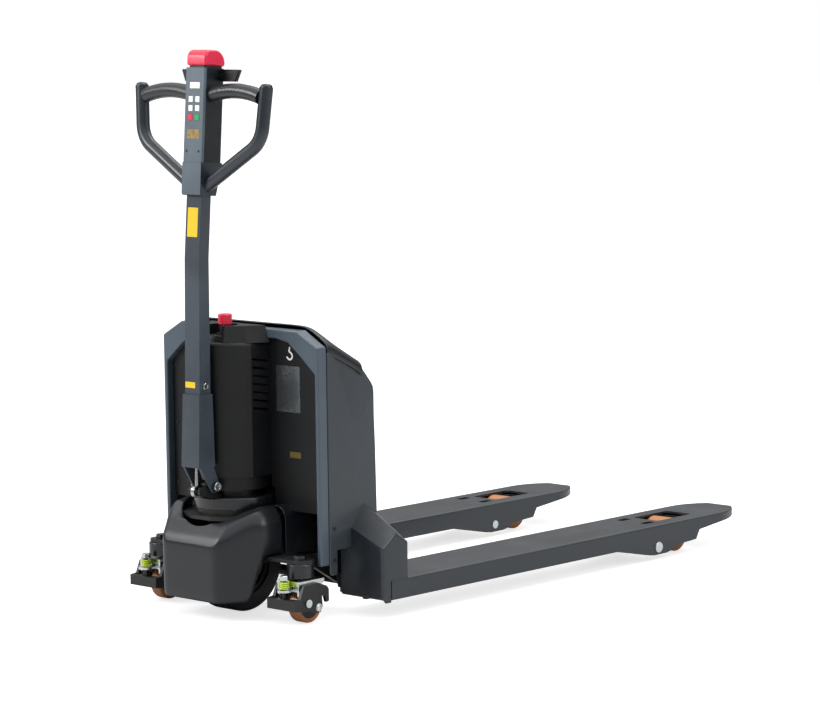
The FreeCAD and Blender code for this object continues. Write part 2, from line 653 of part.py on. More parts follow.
def power_unit():
    """Hydraulic tank with pump motor on the left, motor controller on the right."""
    tank = box(-172, -98, -36, 38, 246, 330)
    pump = rod(32, (-135, 0, 330), Z_AXIS, 40)
    controller = box(98, 172, -36, 38, 246, 360)
    for i in range(6):
        y = -30 + 11 * i
        controller = controller.cut(box(97, 175, y, y + 5, 350, 361))
    return Part.makeCompound([tank.fuse(pump).removeSplitter(), controller])


def estop_housing():
    """Fixed stem of the emergency stop."""
    stem = rod(11.8, (0, -162, 598), Z_AXIS, 22).fuse(rod(13.5, (0, -162, 619), Z_AXIS, 18))
    stem = stem.fuse(rod(19, (0, -162, 619), Z_AXIS, 4))
    return stem.cut(rod(7, (0, -162, 610), Z_AXIS, 40))


def estop_cap():
    cap = rod(15.5, (0, -162, 642.5), Z_AXIS, 22)
    cap = rounded(cap, 3, lambda x, y, z: z > 664)
    return cap.fuse(rod(6, (0, -162, 617), Z_AXIS, 26)).removeSplitter()


# ---- lift linkage and load wheels ---------------------------------------------------------------
def lift_pin():
    """Place of the lift arm's end pin at rest, y and z."""
    return SHAFT_Y - ARM_L * math.cos(HALF_SWING), SHAFT_Z + ARM_L * math.sin(HALF_SWING)


def bar_plate(a, b, r, x0, x1):
    """Flat bar with round ends between two pivots given as y and z."""
    ends = [rod(r, (x0, a[0], a[1]), X_AXIS, x1 - x0), rod(r, (x0, b[0], b[1]), X_AXIS, x1 - x0)]
    angle = math.atan2(b[1] - a[1], b[0] - a[0])
    dy, dz = -r * math.sin(angle), r * math.cos(angle)
    corners = [(a[0] + dy, a[1] + dz), (b[0] + dy, b[1] + dz), (b[0] - dy, b[1] - dz), (a[0] - dy, a[1] - dz)]
    return prism("x", corners, x0, x1).fuse(ends).removeSplitter()


def heel_ear_pin():
    return SHAFT_Y - EAR_R * math.sin(HALF_SWING), SHAFT_Z - EAR_R * math.cos(HALF_SWING)


def tip_ear_pin():
    return LEVER_Y - EAR_R * math.sin(HALF_SWING), LEVER_Z + EAR_R * math.cos(HALF_SWING)


def torsion_shaft():
    """Shaft across both heels with lift arms and a crank throw for each push rod."""
    shaft = rod(12, (-292, SHAFT_Y, SHAFT_Z), X_AXIS, 584)
    for centre in (-FORK_X, FORK_X):
        shaft = shaft.cut(rod(13, (centre - 8, SHAFT_Y, SHAFT_Z), X_AXIS, 16))
    pieces = []
    pin_y, pin_z = lift_pin()
    arm = bar_plate((SHAFT_Y, SHAFT_Z), (pin_y, pin_z), 11, 160, 172)
    pieces += [arm, mirrored(arm)]
    pin = rod(6, (133, pin_y, pin_z), X_AXIS, 32)
    pieces += [pin, mirrored(pin)]
    for centre in (-FORK_X, FORK_X):
        for offset in (-14, 8):
            pieces.append(bar_plate((SHAFT_Y, SHAFT_Z), heel_ear_pin(), 12, centre + offset, centre + offset + 6))
        pieces.append(rod(5, (centre - 12, *heel_ear_pin()), X_AXIS, 24))
    return shaft.fuse(pieces).removeSplitter()


def roller_axis():
    return LEVER_Y + math.sqrt(LEVER_L ** 2 - (ROLLER_R - LEVER_Z) ** 2), ROLLER_R


def load_lever(centre):
    """Yoke that carries one load roller, with its crank for the push rod."""
    hub = rod(15, (centre - 48, LEVER_Y, LEVER_Z), X_AXIS, 96)
    hub = hub.cut(rod(16, (centre - 7, LEVER_Y, LEVER_Z), X_AXIS, 14))
    pieces = []
    for offset in (-48, 40):
        pieces.append(bar_plate((LEVER_Y, LEVER_Z), roller_axis(), 14, centre + offset, centre + offset + 8))
    for offset in (-13, 7):
        pieces.append(bar_plate((LEVER_Y, LEVER_Z), tip_ear_pin(), 9, centre + offset, centre + offset + 6))
    pieces.append(rod(6, (centre - 12, *tip_ear_pin()), X_AXIS, 24))
    pieces.append(rod(10, (centre - 47, *roller_axis()), X_AXIS, 94))
    yoke = hub.fuse(pieces)
    return yoke.cut(rod(10 + RUN, (centre - 60, LEVER_Y, LEVER_Z), X_AXIS, 120))


def load_roller(centre):
    """Polyurethane load roller."""
    y, z = roller_axis()
    roller = rod(ROLLER_R, (centre - ROLLER_W / 2, y, z), X_AXIS, ROLLER_W)
    roller = rounded(roller, 3, lambda ex, ey, ez: abs(abs(ex - centre) - ROLLER_W / 2) < 1)
    return roller.cut(rod(10 + RUN, (centre - 50, y, z), X_AXIS, 100))


def push_rod(centre):
    """Round rod between the cranks; a slotted rear end leaves the pin free to rise and fall."""
    rear_y, rear_z = heel_ear_pin()
    front_y, front_z = tip_ear_pin()
    bar = Part.makeCylinder(5.5, front_y - rear_y - 20, V(centre, rear_y + 14, rear_z),
                            V(0, front_y - rear_y, front_z - rear_z))
    eye = rod(9, (centre - 6.2, front_y, front_z), X_AXIS, 12.4)
    link = box(centre - 6.2, centre + 6.2, rear_y - 9, rear_y + 22, rear_z - 15, rear_z + 9.5)
    body = bar.fuse([eye, link]).removeSplitter()
    body = body.cut(rod(6 + RUN, (centre - 20, front_y, front_z), X_AXIS, 40))
    slot = box(centre - 20, centre + 20, rear_y - 5.4, rear_y + 5.4, rear_z - 6.5, rear_z)
    for z in (rear_z - 6.5, rear_z):
        slot = slot.fuse(rod(5.4, (centre - 20, rear_y, z), X_AXIS, 40))
    return body.cut(slot)


# ---- casters --------------------------------------------------------------------------------------
def caster_bracket():
    """Zinc-plated swivel bracket with its spring eye and pivot bolt, right side."""
    plate = box(CASTER_X - 33, CASTER_X + 33, -200, -122, 93, 98)
    plate = plate.cut(rod(8 + RUN, (CASTER_X, CASTER_Y, 90), Z_AXIS, 10))
    cheek_outline = [(-200, 96), (-122, 96), (-124, 88), (-160, 76), (-172, 40), (-194, 40), (-200, 66)]
    cheek = prism("x", cheek_outline, CASTER_X + 28, CASTER_X + 33)
    other = prism("x", cheek_outline, CASTER_X - 33, CASTER_X - 28)
    tongue = box(CASTER_X - 18, CASTER_X + 18, -212, -196, 76, 81)
    riser = box(CASTER_X - 33, CASTER_X + 33, -200, -196, 76, 96)
    eye = rod(18, (CASTER_X, -212, 76), Z_AXIS, 5)
    y, z = CASTER_PIVOT
    bolts = [rod(6, (CASTER_X + 28, y, z), X_AXIS, 19), rod(6, (CASTER_X - 47, y, z), X_AXIS, 19)]
    heads = [rod(9, (CASTER_X + 43.4, y, z), X_AXIS, 5), rod(9, (CASTER_X - 48.4, y, z), X_AXIS, 5)]
    bracket = plate.fuse([cheek, other, riser, tongue, eye] + bolts + heads).removeSplitter()
    return bracket.cut(rod(9.5, (CASTER_X, -212, 70), Z_AXIS, 20))


def caster_arm():
    """Black rocking yoke with its front cross bar, wheel axle and spring bolt, right side."""
    y, z = CASTER_PIVOT
    outline = [(-223, 37), (-223, 60), (-206, 62), (-194, 90), (-150, 92), (-124, 82), (-118, 74),
               (-118, 48), (-126, 46), (-130, 60), (-140, 62), (-138, 38), (-144, 27), (-156, 26),
               (-172, 32), (-200, 35)]
    plate = prism("x", outline, CASTER_X + 35, CASTER_X + 43)
    plate = plate.fuse(prism("x", outline, CASTER_X - 43, CASTER_X - 35))
    plate = plate.cut(rod(6 + RUN, (CASTER_X - 60, y, z), X_AXIS, 120))
    bar = box(CASTER_X - 43, CASTER_X + 43, -223, -204, 37, 60)
    axle = rod(6, (CASTER_X - 46, CASTER_AXLE_Y, CASTER_R), X_AXIS, 92)
    bolt = rod(5, (CASTER_X, -212, 55), Z_AXIS, 48)
    head = hexagon(17, (CASTER_X, -212, 103), "z", 8)
    return plate.fuse([bar, axle, bolt, head]).removeSplitter()


def caster_spring():
    """Compression spring as a stack of turns on the spring bolt, right side."""
    turns = 4
    pitch = 16.8 / turns
    coil = Part.makeHelix(pitch, turns * pitch, 9.5)
    section = Part.Wire([Part.Circle(V(9.5, 0, 0), V(0, -1, 0), 1.6).toShape()])
    spring = Part.Wire(coil.Edges).makePipeShell([section], True, True)
    spring.translate(V(CASTER_X, -212, 82.9))
    return spring


def caster_wheel():
    """Polyurethane caster wheel on its core, right side."""
    wheel = rod(CASTER_R, (CASTER_X - 15, CASTER_AXLE_Y, CASTER_R), X_AXIS, 30)
    wheel = rounded(wheel, 3, lambda x, y, z: abs(abs(x - CASTER_X) - 15) < 1)
    wheel = wheel.cut(rod(6 + RUN, (CASTER_X - 20, CASTER_AXLE_Y, CASTER_R), X_AXIS, 40))
    for x in (CASTER_X - 16, CASTER_X + 12):
        wheel = wheel.cut(ring(27, 12, (x, CASTER_AXLE_Y, CASTER_R), X_AXIS, 4))
    return wheel


def main():
    os.makedirs("parts", exist_ok=True)
    singles = (base_frame, drive_shroud, slewing_ring, lift_cylinder, caster_housings,
               turntable, drive_motor, gear_case, wheel_yoke, tiller_bracket, drive_hub, drive_tyre,
               tiller_sleeve, tiller_tube, handle_frame, handle_grips, handle_head, handle_fascia,
               reverse_button, throttle_flaps, spring_cylinder, spring_rod, lever_bolts, fork_frame,
               lift_rod, front_rim, front_cover, column_cover, rear_cover, battery_lid, battery_pack,
               power_unit, estop_housing, estop_cap, torsion_shaft)
    for make in singles:
        save(make.__name__, make())
    save("shroud_sides", both(shroud_side()))
    save("heel_covers", both(heel_cover()))
    save("side_panels", both(side_panel()))
    for name, x, z in key_spots():
        save(name, key_cap(x, z))
    right_fork = fork()
    save("fork_right", right_fork)
    save("fork_left", mirrored(right_fork))
    for side, centre in (("right", FORK_X), ("left", -FORK_X)):
        save(f"load_lever_{side}", load_lever(centre))
        save(f"load_roller_{side}", load_roller(centre))
        save(f"push_rod_{side}", push_rod(centre))
    for make in (caster_bracket, caster_arm, caster_spring, caster_wheel):
        right = make()
        save(f"{make.__name__}_right", right)
        save(f"{make.__name__}_left", mirrored(right))


main()
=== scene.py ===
# %% [markdown]
# # An electric pallet truck
# A low-lift truck has three kinds of surface: powder-coated steel (forks, tiller, hood), moulded black
# plastic (drive cover, motor column, handle head) and small bright hardware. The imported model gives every
# piece its size and place, so this lesson keeps those, softens edges, moulds the cowl, fenders, hood sides
# and lid again, and paints everything with procedural materials.

# %% Load the frame
import json
import math

import bmesh
import bpy
from mathutils import Matrix, Vector

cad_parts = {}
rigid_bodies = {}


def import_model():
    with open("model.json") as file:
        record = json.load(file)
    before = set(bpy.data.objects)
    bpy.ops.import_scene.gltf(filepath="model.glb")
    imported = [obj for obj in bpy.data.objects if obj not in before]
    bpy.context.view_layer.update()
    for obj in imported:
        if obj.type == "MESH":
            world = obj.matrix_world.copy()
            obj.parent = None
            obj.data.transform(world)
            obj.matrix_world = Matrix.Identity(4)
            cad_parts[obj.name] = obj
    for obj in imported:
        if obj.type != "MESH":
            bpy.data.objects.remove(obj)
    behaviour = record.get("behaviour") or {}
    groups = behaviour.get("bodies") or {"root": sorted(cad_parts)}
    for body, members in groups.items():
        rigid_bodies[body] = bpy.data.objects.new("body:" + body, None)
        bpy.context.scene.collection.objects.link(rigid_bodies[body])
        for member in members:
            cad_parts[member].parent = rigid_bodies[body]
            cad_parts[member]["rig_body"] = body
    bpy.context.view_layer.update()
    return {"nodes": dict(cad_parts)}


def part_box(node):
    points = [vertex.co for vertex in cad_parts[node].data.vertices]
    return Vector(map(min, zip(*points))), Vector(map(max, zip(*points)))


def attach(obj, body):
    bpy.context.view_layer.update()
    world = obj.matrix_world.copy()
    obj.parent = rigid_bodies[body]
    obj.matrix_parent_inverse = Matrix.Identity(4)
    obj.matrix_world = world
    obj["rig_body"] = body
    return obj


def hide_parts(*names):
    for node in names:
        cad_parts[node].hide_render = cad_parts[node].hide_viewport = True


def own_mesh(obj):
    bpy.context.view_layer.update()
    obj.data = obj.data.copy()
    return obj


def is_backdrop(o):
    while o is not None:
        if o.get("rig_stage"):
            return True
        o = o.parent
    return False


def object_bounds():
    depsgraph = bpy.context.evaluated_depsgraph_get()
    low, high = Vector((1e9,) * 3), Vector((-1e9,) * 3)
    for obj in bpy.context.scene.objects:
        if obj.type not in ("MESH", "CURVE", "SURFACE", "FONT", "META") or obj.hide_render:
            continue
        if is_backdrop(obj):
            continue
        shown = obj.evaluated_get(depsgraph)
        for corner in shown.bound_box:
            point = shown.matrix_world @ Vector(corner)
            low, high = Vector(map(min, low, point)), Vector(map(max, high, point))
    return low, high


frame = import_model()
NODES = frame["nodes"]

# %% [markdown]
# ## Workshop coordinates
# A truck is easiest to describe in millimetres from the root of its forks: x to the right, y towards the
# tips, z up. The frame's origin is in the middle of the length, so one helper turns the first into the
# second, and the root of the fork comes from the model itself.

# %% Place points in machine millimetres
ROOT_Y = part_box("fork_right")[0].y


def at(x, y, z):
    return Vector((x / 1000, y / 1000 + ROOT_Y, z / 1000))


STEER_Y = -140.0
print("fork root at y =", round(ROOT_Y, 4))

# %% [markdown]
# ## Shader groups
# Paint and plastic on a work machine share a few effects: bright rubbed edges, a fine grain that breaks up
# reflections, broad uneven tone, and pale dust that settles on what faces up. Each is a node group with
# named inputs, built once. Groups put out masks and values only; the shader stays in each material.

# %% Small helpers to build node groups


def make_group(name, inputs, outputs):
    """A shader node group with float sockets; returns it with its input and output nodes."""
    tree = bpy.data.node_groups.new(name, "ShaderNodeTree")
    for label, value in inputs:
        socket = tree.interface.new_socket(name=label, in_out="INPUT", socket_type="NodeSocketFloat")
        socket.default_value = value
    for label in outputs:
        tree.interface.new_socket(name=label, in_out="OUTPUT", socket_type="NodeSocketFloat")
    return tree, tree.nodes.new("NodeGroupInput"), tree.nodes.new("NodeGroupOutput")


def math_node(tree, operation, a, b=None, clamp=False):
    node = tree.nodes.new("ShaderNodeMath")
    node.operation = operation
    node.use_clamp = clamp
    for i, value in enumerate((a, b)):
        if isinstance(value, (int, float)):
            node.inputs[i].default_value = value
        elif value is not None:
            tree.links.new(value, node.inputs[i])
    return node.outputs[0]


def noise_node(tree, vector, scale, detail=3.0, roughness=0.55):
    node = tree.nodes.new("ShaderNodeTexNoise")
    node.inputs["Detail"].default_value = detail
    node.inputs["Roughness"].default_value = roughness
    tree.links.new(vector, node.inputs["Vector"])
    if isinstance(scale, (int, float)):
        node.inputs["Scale"].default_value = scale
    else:
        tree.links.new(scale, node.inputs["Scale"])
    return node.outputs["Fac"]


def ramp_node(tree, value, low, high, to_low=0.0, to_high=1.0):
    node = tree.nodes.new("ShaderNodeMapRange")
    node.interpolation_type = "SMOOTHSTEP"
    tree.links.new(value, node.inputs["Value"])
    for label, number in (("From Min", low), ("From Max", high), ("To Min", to_low), ("To Max", to_high)):
        node.inputs[label].default_value = number
    return node.outputs["Result"]


def object_coords(tree):
    return tree.nodes.new("ShaderNodeTexCoord").outputs["Object"]


# %% Edge wear: where the surface turns sharply and the noise allows it


def build_edge_wear():
    tree, given, out = make_group("edge_wear", [("Radius", 0.0015), ("Amount", 0.5)], ["Mask"])
    bevel = tree.nodes.new("ShaderNodeBevel")
    bevel.samples = 4
    tree.links.new(given.outputs["Radius"], bevel.inputs["Radius"])
    geometry = tree.nodes.new("ShaderNodeNewGeometry")
    dot = tree.nodes.new("ShaderNodeVectorMath")
    dot.operation = "DOT_PRODUCT"
    tree.links.new(bevel.outputs["Normal"], dot.inputs[0])
    tree.links.new(geometry.outputs["Normal"], dot.inputs[1])
    edge = ramp_node(tree, dot.outputs["Value"], 0.985, 0.86)
    patches = ramp_node(tree, noise_node(tree, object_coords(tree), 38.0), 0.42, 0.66)
    mask = math_node(tree, "MULTIPLY", math_node(tree, "MULTIPLY", edge, patches), given.outputs["Amount"])
    tree.links.new(mask, out.inputs["Mask"])
    return tree


EDGE_WEAR = build_edge_wear()
print("group:", EDGE_WEAR.name)

# %% Grain and tone: a fine bump height and a slow variation of shade


def build_grain():
    tree, given, out = make_group("grain", [("Fine Scale", 900.0), ("Broad Scale", 5.0)], ["Height", "Tone"])
    coords = object_coords(tree)
    fine = noise_node(tree, coords, given.outputs["Fine Scale"], 2.0)
    broad = noise_node(tree, coords, given.outputs["Broad Scale"], 4.0, 0.6)
    tree.links.new(fine, out.inputs["Height"])
    tree.links.new(ramp_node(tree, broad, 0.3, 0.7, -1.0, 1.0), out.inputs["Tone"])
    return tree


GRAIN = build_grain()

# %% Dust: settles in clouds on faces that look up


def build_dust():
    tree, given, out = make_group("dust", [("Amount", 0.3)], ["Mask"])
    geometry = tree.nodes.new("ShaderNodeNewGeometry")
    split = tree.nodes.new("ShaderNodeSeparateXYZ")
    tree.links.new(geometry.outputs["Normal"], split.inputs[0])
    facing_up = ramp_node(tree, split.outputs["Z"], 0.2, 1.0)
    cloud = ramp_node(tree, noise_node(tree, object_coords(tree), 14.0, 6.0, 0.65), 0.4, 0.75)
    mask = math_node(tree, "MULTIPLY", math_node(tree, "MULTIPLY", facing_up, cloud), given.outputs["Amount"])
    tree.links.new(mask, out.inputs["Mask"])
    return tree


DUST = build_dust()
print("groups:", [g.name for g in (EDGE_WEAR, GRAIN, DUST)])

# %% [markdown]
# ## Finishes
# Every finish is one Principled shader fed by those groups. A finish has a base colour, a worn colour for
# the edges, a roughness that drifts with the tone, and a bump from the fine grain. One function builds them
# all, so a finish is a line of values that says how this paint or plastic differs from the others.

# %% A finish from its values


def place_group(tree, group, **values):
    node = tree.nodes.new("ShaderNodeGroup")
    node.node_tree = group
    for label, value in values.items():
        node.inputs[label.replace("_", " ")].default_value = value
    return node


def mix_colour(tree, factor, a, b, blend="MIX"):
    node = tree.nodes.new("ShaderNodeMix")
    node.data_type = "RGBA"
    node.blend_type = blend
    tree.links.new(factor, node.inputs["Factor"])
    for label, value in (("A", a), ("B", b)):
        socket = [s for s in node.inputs if s.name == label and s.type == "RGBA"][0]
        if isinstance(value, tuple):
            socket.default_value = (*value, 1.0)
        else:
            tree.links.new(value, socket)
    return [s for s in node.outputs if s.type == "RGBA"][0]


FINISHES = {}


def finish(name, colour, rough, worn=None, wear=0.4, fine=900.0, bump=0.05, tone=0.12, dust=0.0,
           metal=0.0, coat=0.0, drift=0.06, broad=5.0, edge=0.0015, specular=0.5):
    """A procedural material: tone, edge wear and dust over one Principled shader."""
    material = bpy.data.materials.new(name)
    material.use_nodes = True
    tree = material.node_tree
    shader = tree.nodes["Principled BSDF"]
    grain = place_group(tree, GRAIN, Fine_Scale=fine, Broad_Scale=broad)
    wear_mask = place_group(tree, EDGE_WEAR, Radius=edge, Amount=wear)
    light = tuple(min(1.0, c * (1 + tone)) for c in colour)
    dark = tuple(c * (1 - tone) for c in colour)
    shade = mix_colour(tree, ramp_node(tree, grain.outputs["Tone"], -1, 1), dark, light)
    worn = worn or tuple(min(1.0, c * 2.2 + 0.03) for c in colour)
    shade = mix_colour(tree, wear_mask.outputs["Mask"], shade, worn)
    rough_value = ramp_node(tree, grain.outputs["Tone"], -1, 1, rough - drift, rough + drift)
    if dust:
        dust_mask = place_group(tree, DUST, Amount=dust)
        shade = mix_colour(tree, dust_mask.outputs["Mask"], shade, (0.35, 0.34, 0.32))
        rough_value = math_node(tree, "ADD", rough_value,
                                math_node(tree, "MULTIPLY", dust_mask.outputs["Mask"], 0.35), clamp=True)
    tree.links.new(shade, shader.inputs["Base Color"])
    tree.links.new(rough_value, shader.inputs["Roughness"])
    shader.inputs["Metallic"].default_value = metal
    shader.inputs["Coat Weight"].default_value = coat
    shader.inputs["Coat Roughness"].default_value = 0.15
    shader.inputs["Specular IOR Level"].default_value = specular
    relief = tree.nodes.new("ShaderNodeBump")
    relief.inputs["Strength"].default_value = bump
    relief.inputs["Distance"].default_value = 0.0006
    tree.links.new(grain.outputs["Height"], relief.inputs["Height"])
    tree.links.new(relief.outputs["Normal"], shader.inputs["Normal"])
    FINISHES[name] = material
    return material


finish("charcoal_coat", (0.016, 0.021, 0.027), 0.34, (0.10, 0.115, 0.13), bump=0.22, fine=650, dust=0.05,
       coat=0.15, wear=0.3)
finish("tiller_coat", (0.038, 0.050, 0.064), 0.38, (0.16, 0.19, 0.22), bump=0.18, fine=700, wear=0.3)
finish("frame_paint", (0.006, 0.0065, 0.007), 0.42, (0.07, 0.07, 0.07), bump=0.2, dust=0.05)
finish("drum_gloss", (0.005, 0.006, 0.008), 0.24, (0.05, 0.055, 0.06), bump=0.1, wear=0.3, coat=0.2)
finish("cowl_plastic", (0.006, 0.008, 0.011), 0.30, (0.035, 0.04, 0.045), bump=0.18, fine=1400, wear=0.25,
       dust=0.03)
finish("column_plastic", (0.003, 0.0035, 0.0045), 0.46, (0.03, 0.03, 0.035), bump=0.3, fine=1500, wear=0.2,
       specular=0.35)
finish("hood_paint", (0.034, 0.042, 0.050), 0.36, (0.15, 0.17, 0.19), bump=0.12, fine=800, metal=0.1,
       coat=0.15, tone=0.08)
finish("rim_paint", (0.062, 0.085, 0.11), 0.34, (0.22, 0.25, 0.28), bump=0.12, metal=0.1, coat=0.15,
       tone=0.06)
finish("lid_plastic", (0.012, 0.015, 0.018), 0.30, (0.06, 0.065, 0.07), bump=0.25, fine=1300, dust=0.04)
finish("zinc_plate", (0.62, 0.66, 0.66), 0.24, (0.85, 0.86, 0.85), metal=1.0, bump=0.08, fine=300, tone=0.12,
       drift=0.1, broad=30)
finish("ground_steel", (0.42, 0.42, 0.42), 0.32, (0.7, 0.7, 0.7), metal=1.0, bump=0.1, fine=500, broad=25,
       drift=0.08)
finish("oiled_steel", (0.022, 0.021, 0.02), 0.36, (0.12, 0.12, 0.11), metal=0.6, bump=0.15, fine=350,
       broad=20, drift=0.08)
finish("amber_urethane", (0.36, 0.12, 0.018), 0.30, (0.5, 0.26, 0.08), bump=0.06, fine=300, coat=0.3,
       dust=0.05)
finish("black_urethane", (0.006, 0.006, 0.006), 0.5, (0.03, 0.03, 0.03), bump=0.3, fine=400, dust=0.06)
finish("spring_paint", (0.50, 0.66, 0.02), 0.3, (0.7, 0.78, 0.3), bump=0.1, coat=0.3)
finish("signal_red", (0.72, 0.012, 0.06), 0.34, (0.75, 0.15, 0.18), wear=0.2, bump=0.05, coat=0.2, tone=0.06)
finish("key_green", (0.02, 0.34, 0.08), 0.35, (0.25, 0.5, 0.25), wear=0.2, bump=0.05)
finish("key_white", (0.82, 0.84, 0.85), 0.4, (0.8, 0.8, 0.8), wear=0.1, bump=0.05, tone=0.04)
finish("fascia_plastic", (0.085, 0.112, 0.14), 0.42, (0.22, 0.25, 0.28), wear=0.25, bump=0.2, fine=1300)
finish("grip_rubber", (0.012, 0.015, 0.019), 0.30, (0.035, 0.035, 0.04), wear=0.2, bump=0.35, fine=1100)
finish("loop_coat", (0.014, 0.020, 0.027), 0.33, (0.09, 0.10, 0.12), bump=0.2, fine=700, wear=0.25, coat=0.1)
finish("label_yellow", (0.80, 0.55, 0.008), 0.45, (0.9, 0.8, 0.4), wear=0.2, bump=0.04, tone=0.05)
# Yellow label paint darkened to stand for the shade the cover label sits in: painted shade, not a different
# print colour.
finish("label_yellow_painted_shade", (0.10, 0.075, 0.006), 0.5, (0.2, 0.16, 0.05), wear=0.2, bump=0.04, tone=0.1)
finish("label_tan", (0.26, 0.17, 0.045), 0.5, (0.4, 0.3, 0.15), wear=0.2, bump=0.04, tone=0.25, broad=90)
finish("label_white", (0.82, 0.82, 0.82), 0.5, (0.75, 0.75, 0.75), wear=0.1, bump=0.04, tone=0.05)
finish("plate_metal", (0.22, 0.24, 0.25), 0.28, (0.4, 0.4, 0.4), metal=0.85, bump=0.1, fine=260, tone=0.12,
       broad=14, wear=0.0)
print("finishes:", len(FINISHES))

# %% [markdown]
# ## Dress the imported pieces
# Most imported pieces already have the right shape. Each gets the finish of its real material by name; the
# few whose form needs moulding or softening are replaced further down.

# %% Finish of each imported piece
FINISH_OF = {
    "charcoal_coat": ["fork_left", "fork_right", "fork_frame", "heel_covers"],
    "tiller_coat": ["tiller_sleeve", "tiller_tube"],
    "frame_paint": ["base_frame", "lift_cylinder", "drive_motor", "gear_case",
                    "wheel_yoke", "tiller_bracket", "spring_cylinder", "push_rod_left", "push_rod_right",
                    "load_lever_left", "load_lever_right", "caster_arm_left", "caster_arm_right",
                    "power_unit"],
    "drum_gloss": ["turntable", "caster_housings"],
    "cowl_plastic": ["drive_shroud", "shroud_sides", "handle_head"],
    "column_plastic": ["front_cover", "column_cover", "battery_pack", "estop_housing", "throttle_flaps"],
    "hood_paint": ["side_panels", "rear_cover"],
    "rim_paint": ["front_rim"],
    "lid_plastic": ["battery_lid"],
    "zinc_plate": ["lever_bolts", "caster_bracket_left", "caster_bracket_right"],
    "ground_steel": ["spring_rod", "lift_rod"],
    "oiled_steel": ["slewing_ring", "drive_hub", "torsion_shaft"],
    "amber_urethane": ["load_roller_left", "load_roller_right", "caster_wheel_left", "caster_wheel_right"],
    "black_urethane": ["drive_tyre"],
    "spring_paint": ["caster_spring_left", "caster_spring_right"],
    "signal_red": ["reverse_button", "estop_cap", "key_off"],
    "key_green": ["key_on"],
    "key_white": ["key_horn", "key_slow", "key_raise", "key_lower"],
    "fascia_plastic": ["handle_fascia"],
    "grip_rubber": ["handle_grips"],
    "loop_coat": ["handle_frame"],
}
for finish_name, names in FINISH_OF.items():
    for name in names:
        for material_slot in NODES[name].material_slots:
            material_slot.material = FINISHES[finish_name]
undressed = sorted(set(NODES) - {n for names in FINISH_OF.values() for n in names})
print("packed pieces without a finish:", undressed)

# %% [markdown]
# ## Pieces made from mesh
# A new piece is linked, dressed and told which body it rides on, and the imported pieces it stands for are
# hidden. Sharp edges are set by angle, so flat panels stay flat and rounded ones shade smoothly.

# %% Turn a bmesh into a finished piece


def new_piece(name, bm, finish_name, body, stands_for=(), sharp=35.0):
    mesh = bpy.data.meshes.new(name)
    bm.to_mesh(mesh)
    bm.free()
    mesh.shade_smooth()
    mesh.set_sharp_from_angle(angle=math.radians(sharp))
    piece = bpy.data.objects.new(name, mesh)
    bpy.context.scene.collection.objects.link(piece)
    mesh.materials.append(FINISHES[finish_name])
    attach(piece, body)
    if stands_for:
        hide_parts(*stands_for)
    print(f"{name}: {len(mesh.polygons)} faces on {body}")
    return piece


def bridge(bm, rings, closed=True):
    """Join rows of points with quads; closed rows also join their last point to their first."""
    for a, b in zip(rings, rings[1:]):
        for k in range(len(a) if closed else len(a) - 1):
            j = (k + 1) % len(a)
            bm.faces.new((a[k], a[j], b[j], b[k]))


def face_outward(bm, outwardness):
    """Make the normals agree, then flip them all if the faces' outwardness adds up to less than nothing."""
    bmesh.ops.recalc_face_normals(bm, faces=bm.faces)
    if sum(outwardness(f) for f in bm.faces) < 0:
        bmesh.ops.reverse_faces(bm, faces=bm.faces)


def rounded_rectangle(half_width, half_height, radius):
    """Corner points of a rounded rectangle, anticlockwise from the right."""
    corners = []
    for sx, sy, start in ((1, 1, 0), (-1, 1, 90), (-1, -1, 180), (1, -1, 270)):
        for k in range(5):
            a = math.radians(start + 22.5 * k)
            corners.append(((half_width - radius) * sx + radius * math.cos(a),
                            (half_height - radius) * sy + radius * math.sin(a)))
    return corners


def bevelled(piece, width, segments=3, angle=30.0):
    """Round the piece's edges with a bevel modifier."""
    bevel = piece.modifiers.new("soft edges", "BEVEL")
    bevel.width = width
    bevel.segments = segments
    bevel.limit_method = "ANGLE"
    bevel.angle_limit = math.radians(angle)
    bevel.harden_normals = True
    return piece


def softened(node, finish_name, width, segments=3, angle=30.0):
    """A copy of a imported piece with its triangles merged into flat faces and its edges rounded."""
    bm = bmesh.new()
    bm.from_mesh(NODES[node].data)
    bmesh.ops.remove_doubles(bm, verts=bm.verts, dist=1e-5)
    bmesh.ops.dissolve_limit(bm, angle_limit=math.radians(1.0), verts=bm.verts, edges=bm.edges)
    body = NODES[node]["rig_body"]
    piece = new_piece(f"soft_{node}", bm, finish_name, body, [node], sharp=angle)
    return bevelled(piece, width, segments, angle)


# %% [markdown]
# ## The drive cowl
# The front cover is one moulded shell round the steering axis: upright flanks, a soft shoulder, and a top
# that falls from the round opening. That makes it a polar surface. Each ring of points follows the plan
# outline at one height, so a handful of rings, a subdivision surface and a wall give the whole moulding.

# %% Plan outline of the cowl, as a radius for each angle from straight ahead
COWL_PLAN = [(-150, -137), (-150, -200), (-86, -287), (86, -287), (150, -200), (150, -137)]


def plan_radius(phi):
    """Distance from the steering axis to the plan outline; phi is 0 ahead and positive to the right."""
    direction = Vector((math.sin(phi), -math.cos(phi)))
    best = 150.0
    for (x0, y0), (x1, y1) in zip(COWL_PLAN, COWL_PLAN[1:]):
        a, b = Vector((x0, y0 - STEER_Y)), Vector((x1, y1 - STEER_Y))
        side = b - a
        cross = direction.x * side.y - direction.y * side.x
        if abs(cross) < 1e-6:
            continue
        distance = (a.x * side.y - a.y * side.x) / cross
        along = (a.x * direction.y - a.y * direction.x) / cross
        if distance > 0 and -0.001 <= along <= 1.001:
            best = distance
    return best


def smooth_radius(phi, spread=math.radians(5.0)):
    """The outline with its corners eased, by averaging neighbouring radii."""
    steps = [-1.0, -0.5, 0.0, 0.5, 1.0]
    weights = [1, 3, 4, 3, 1]
    return sum(w * plan_radius(phi + s * spread) for s, w in zip(steps, weights)) / sum(weights)


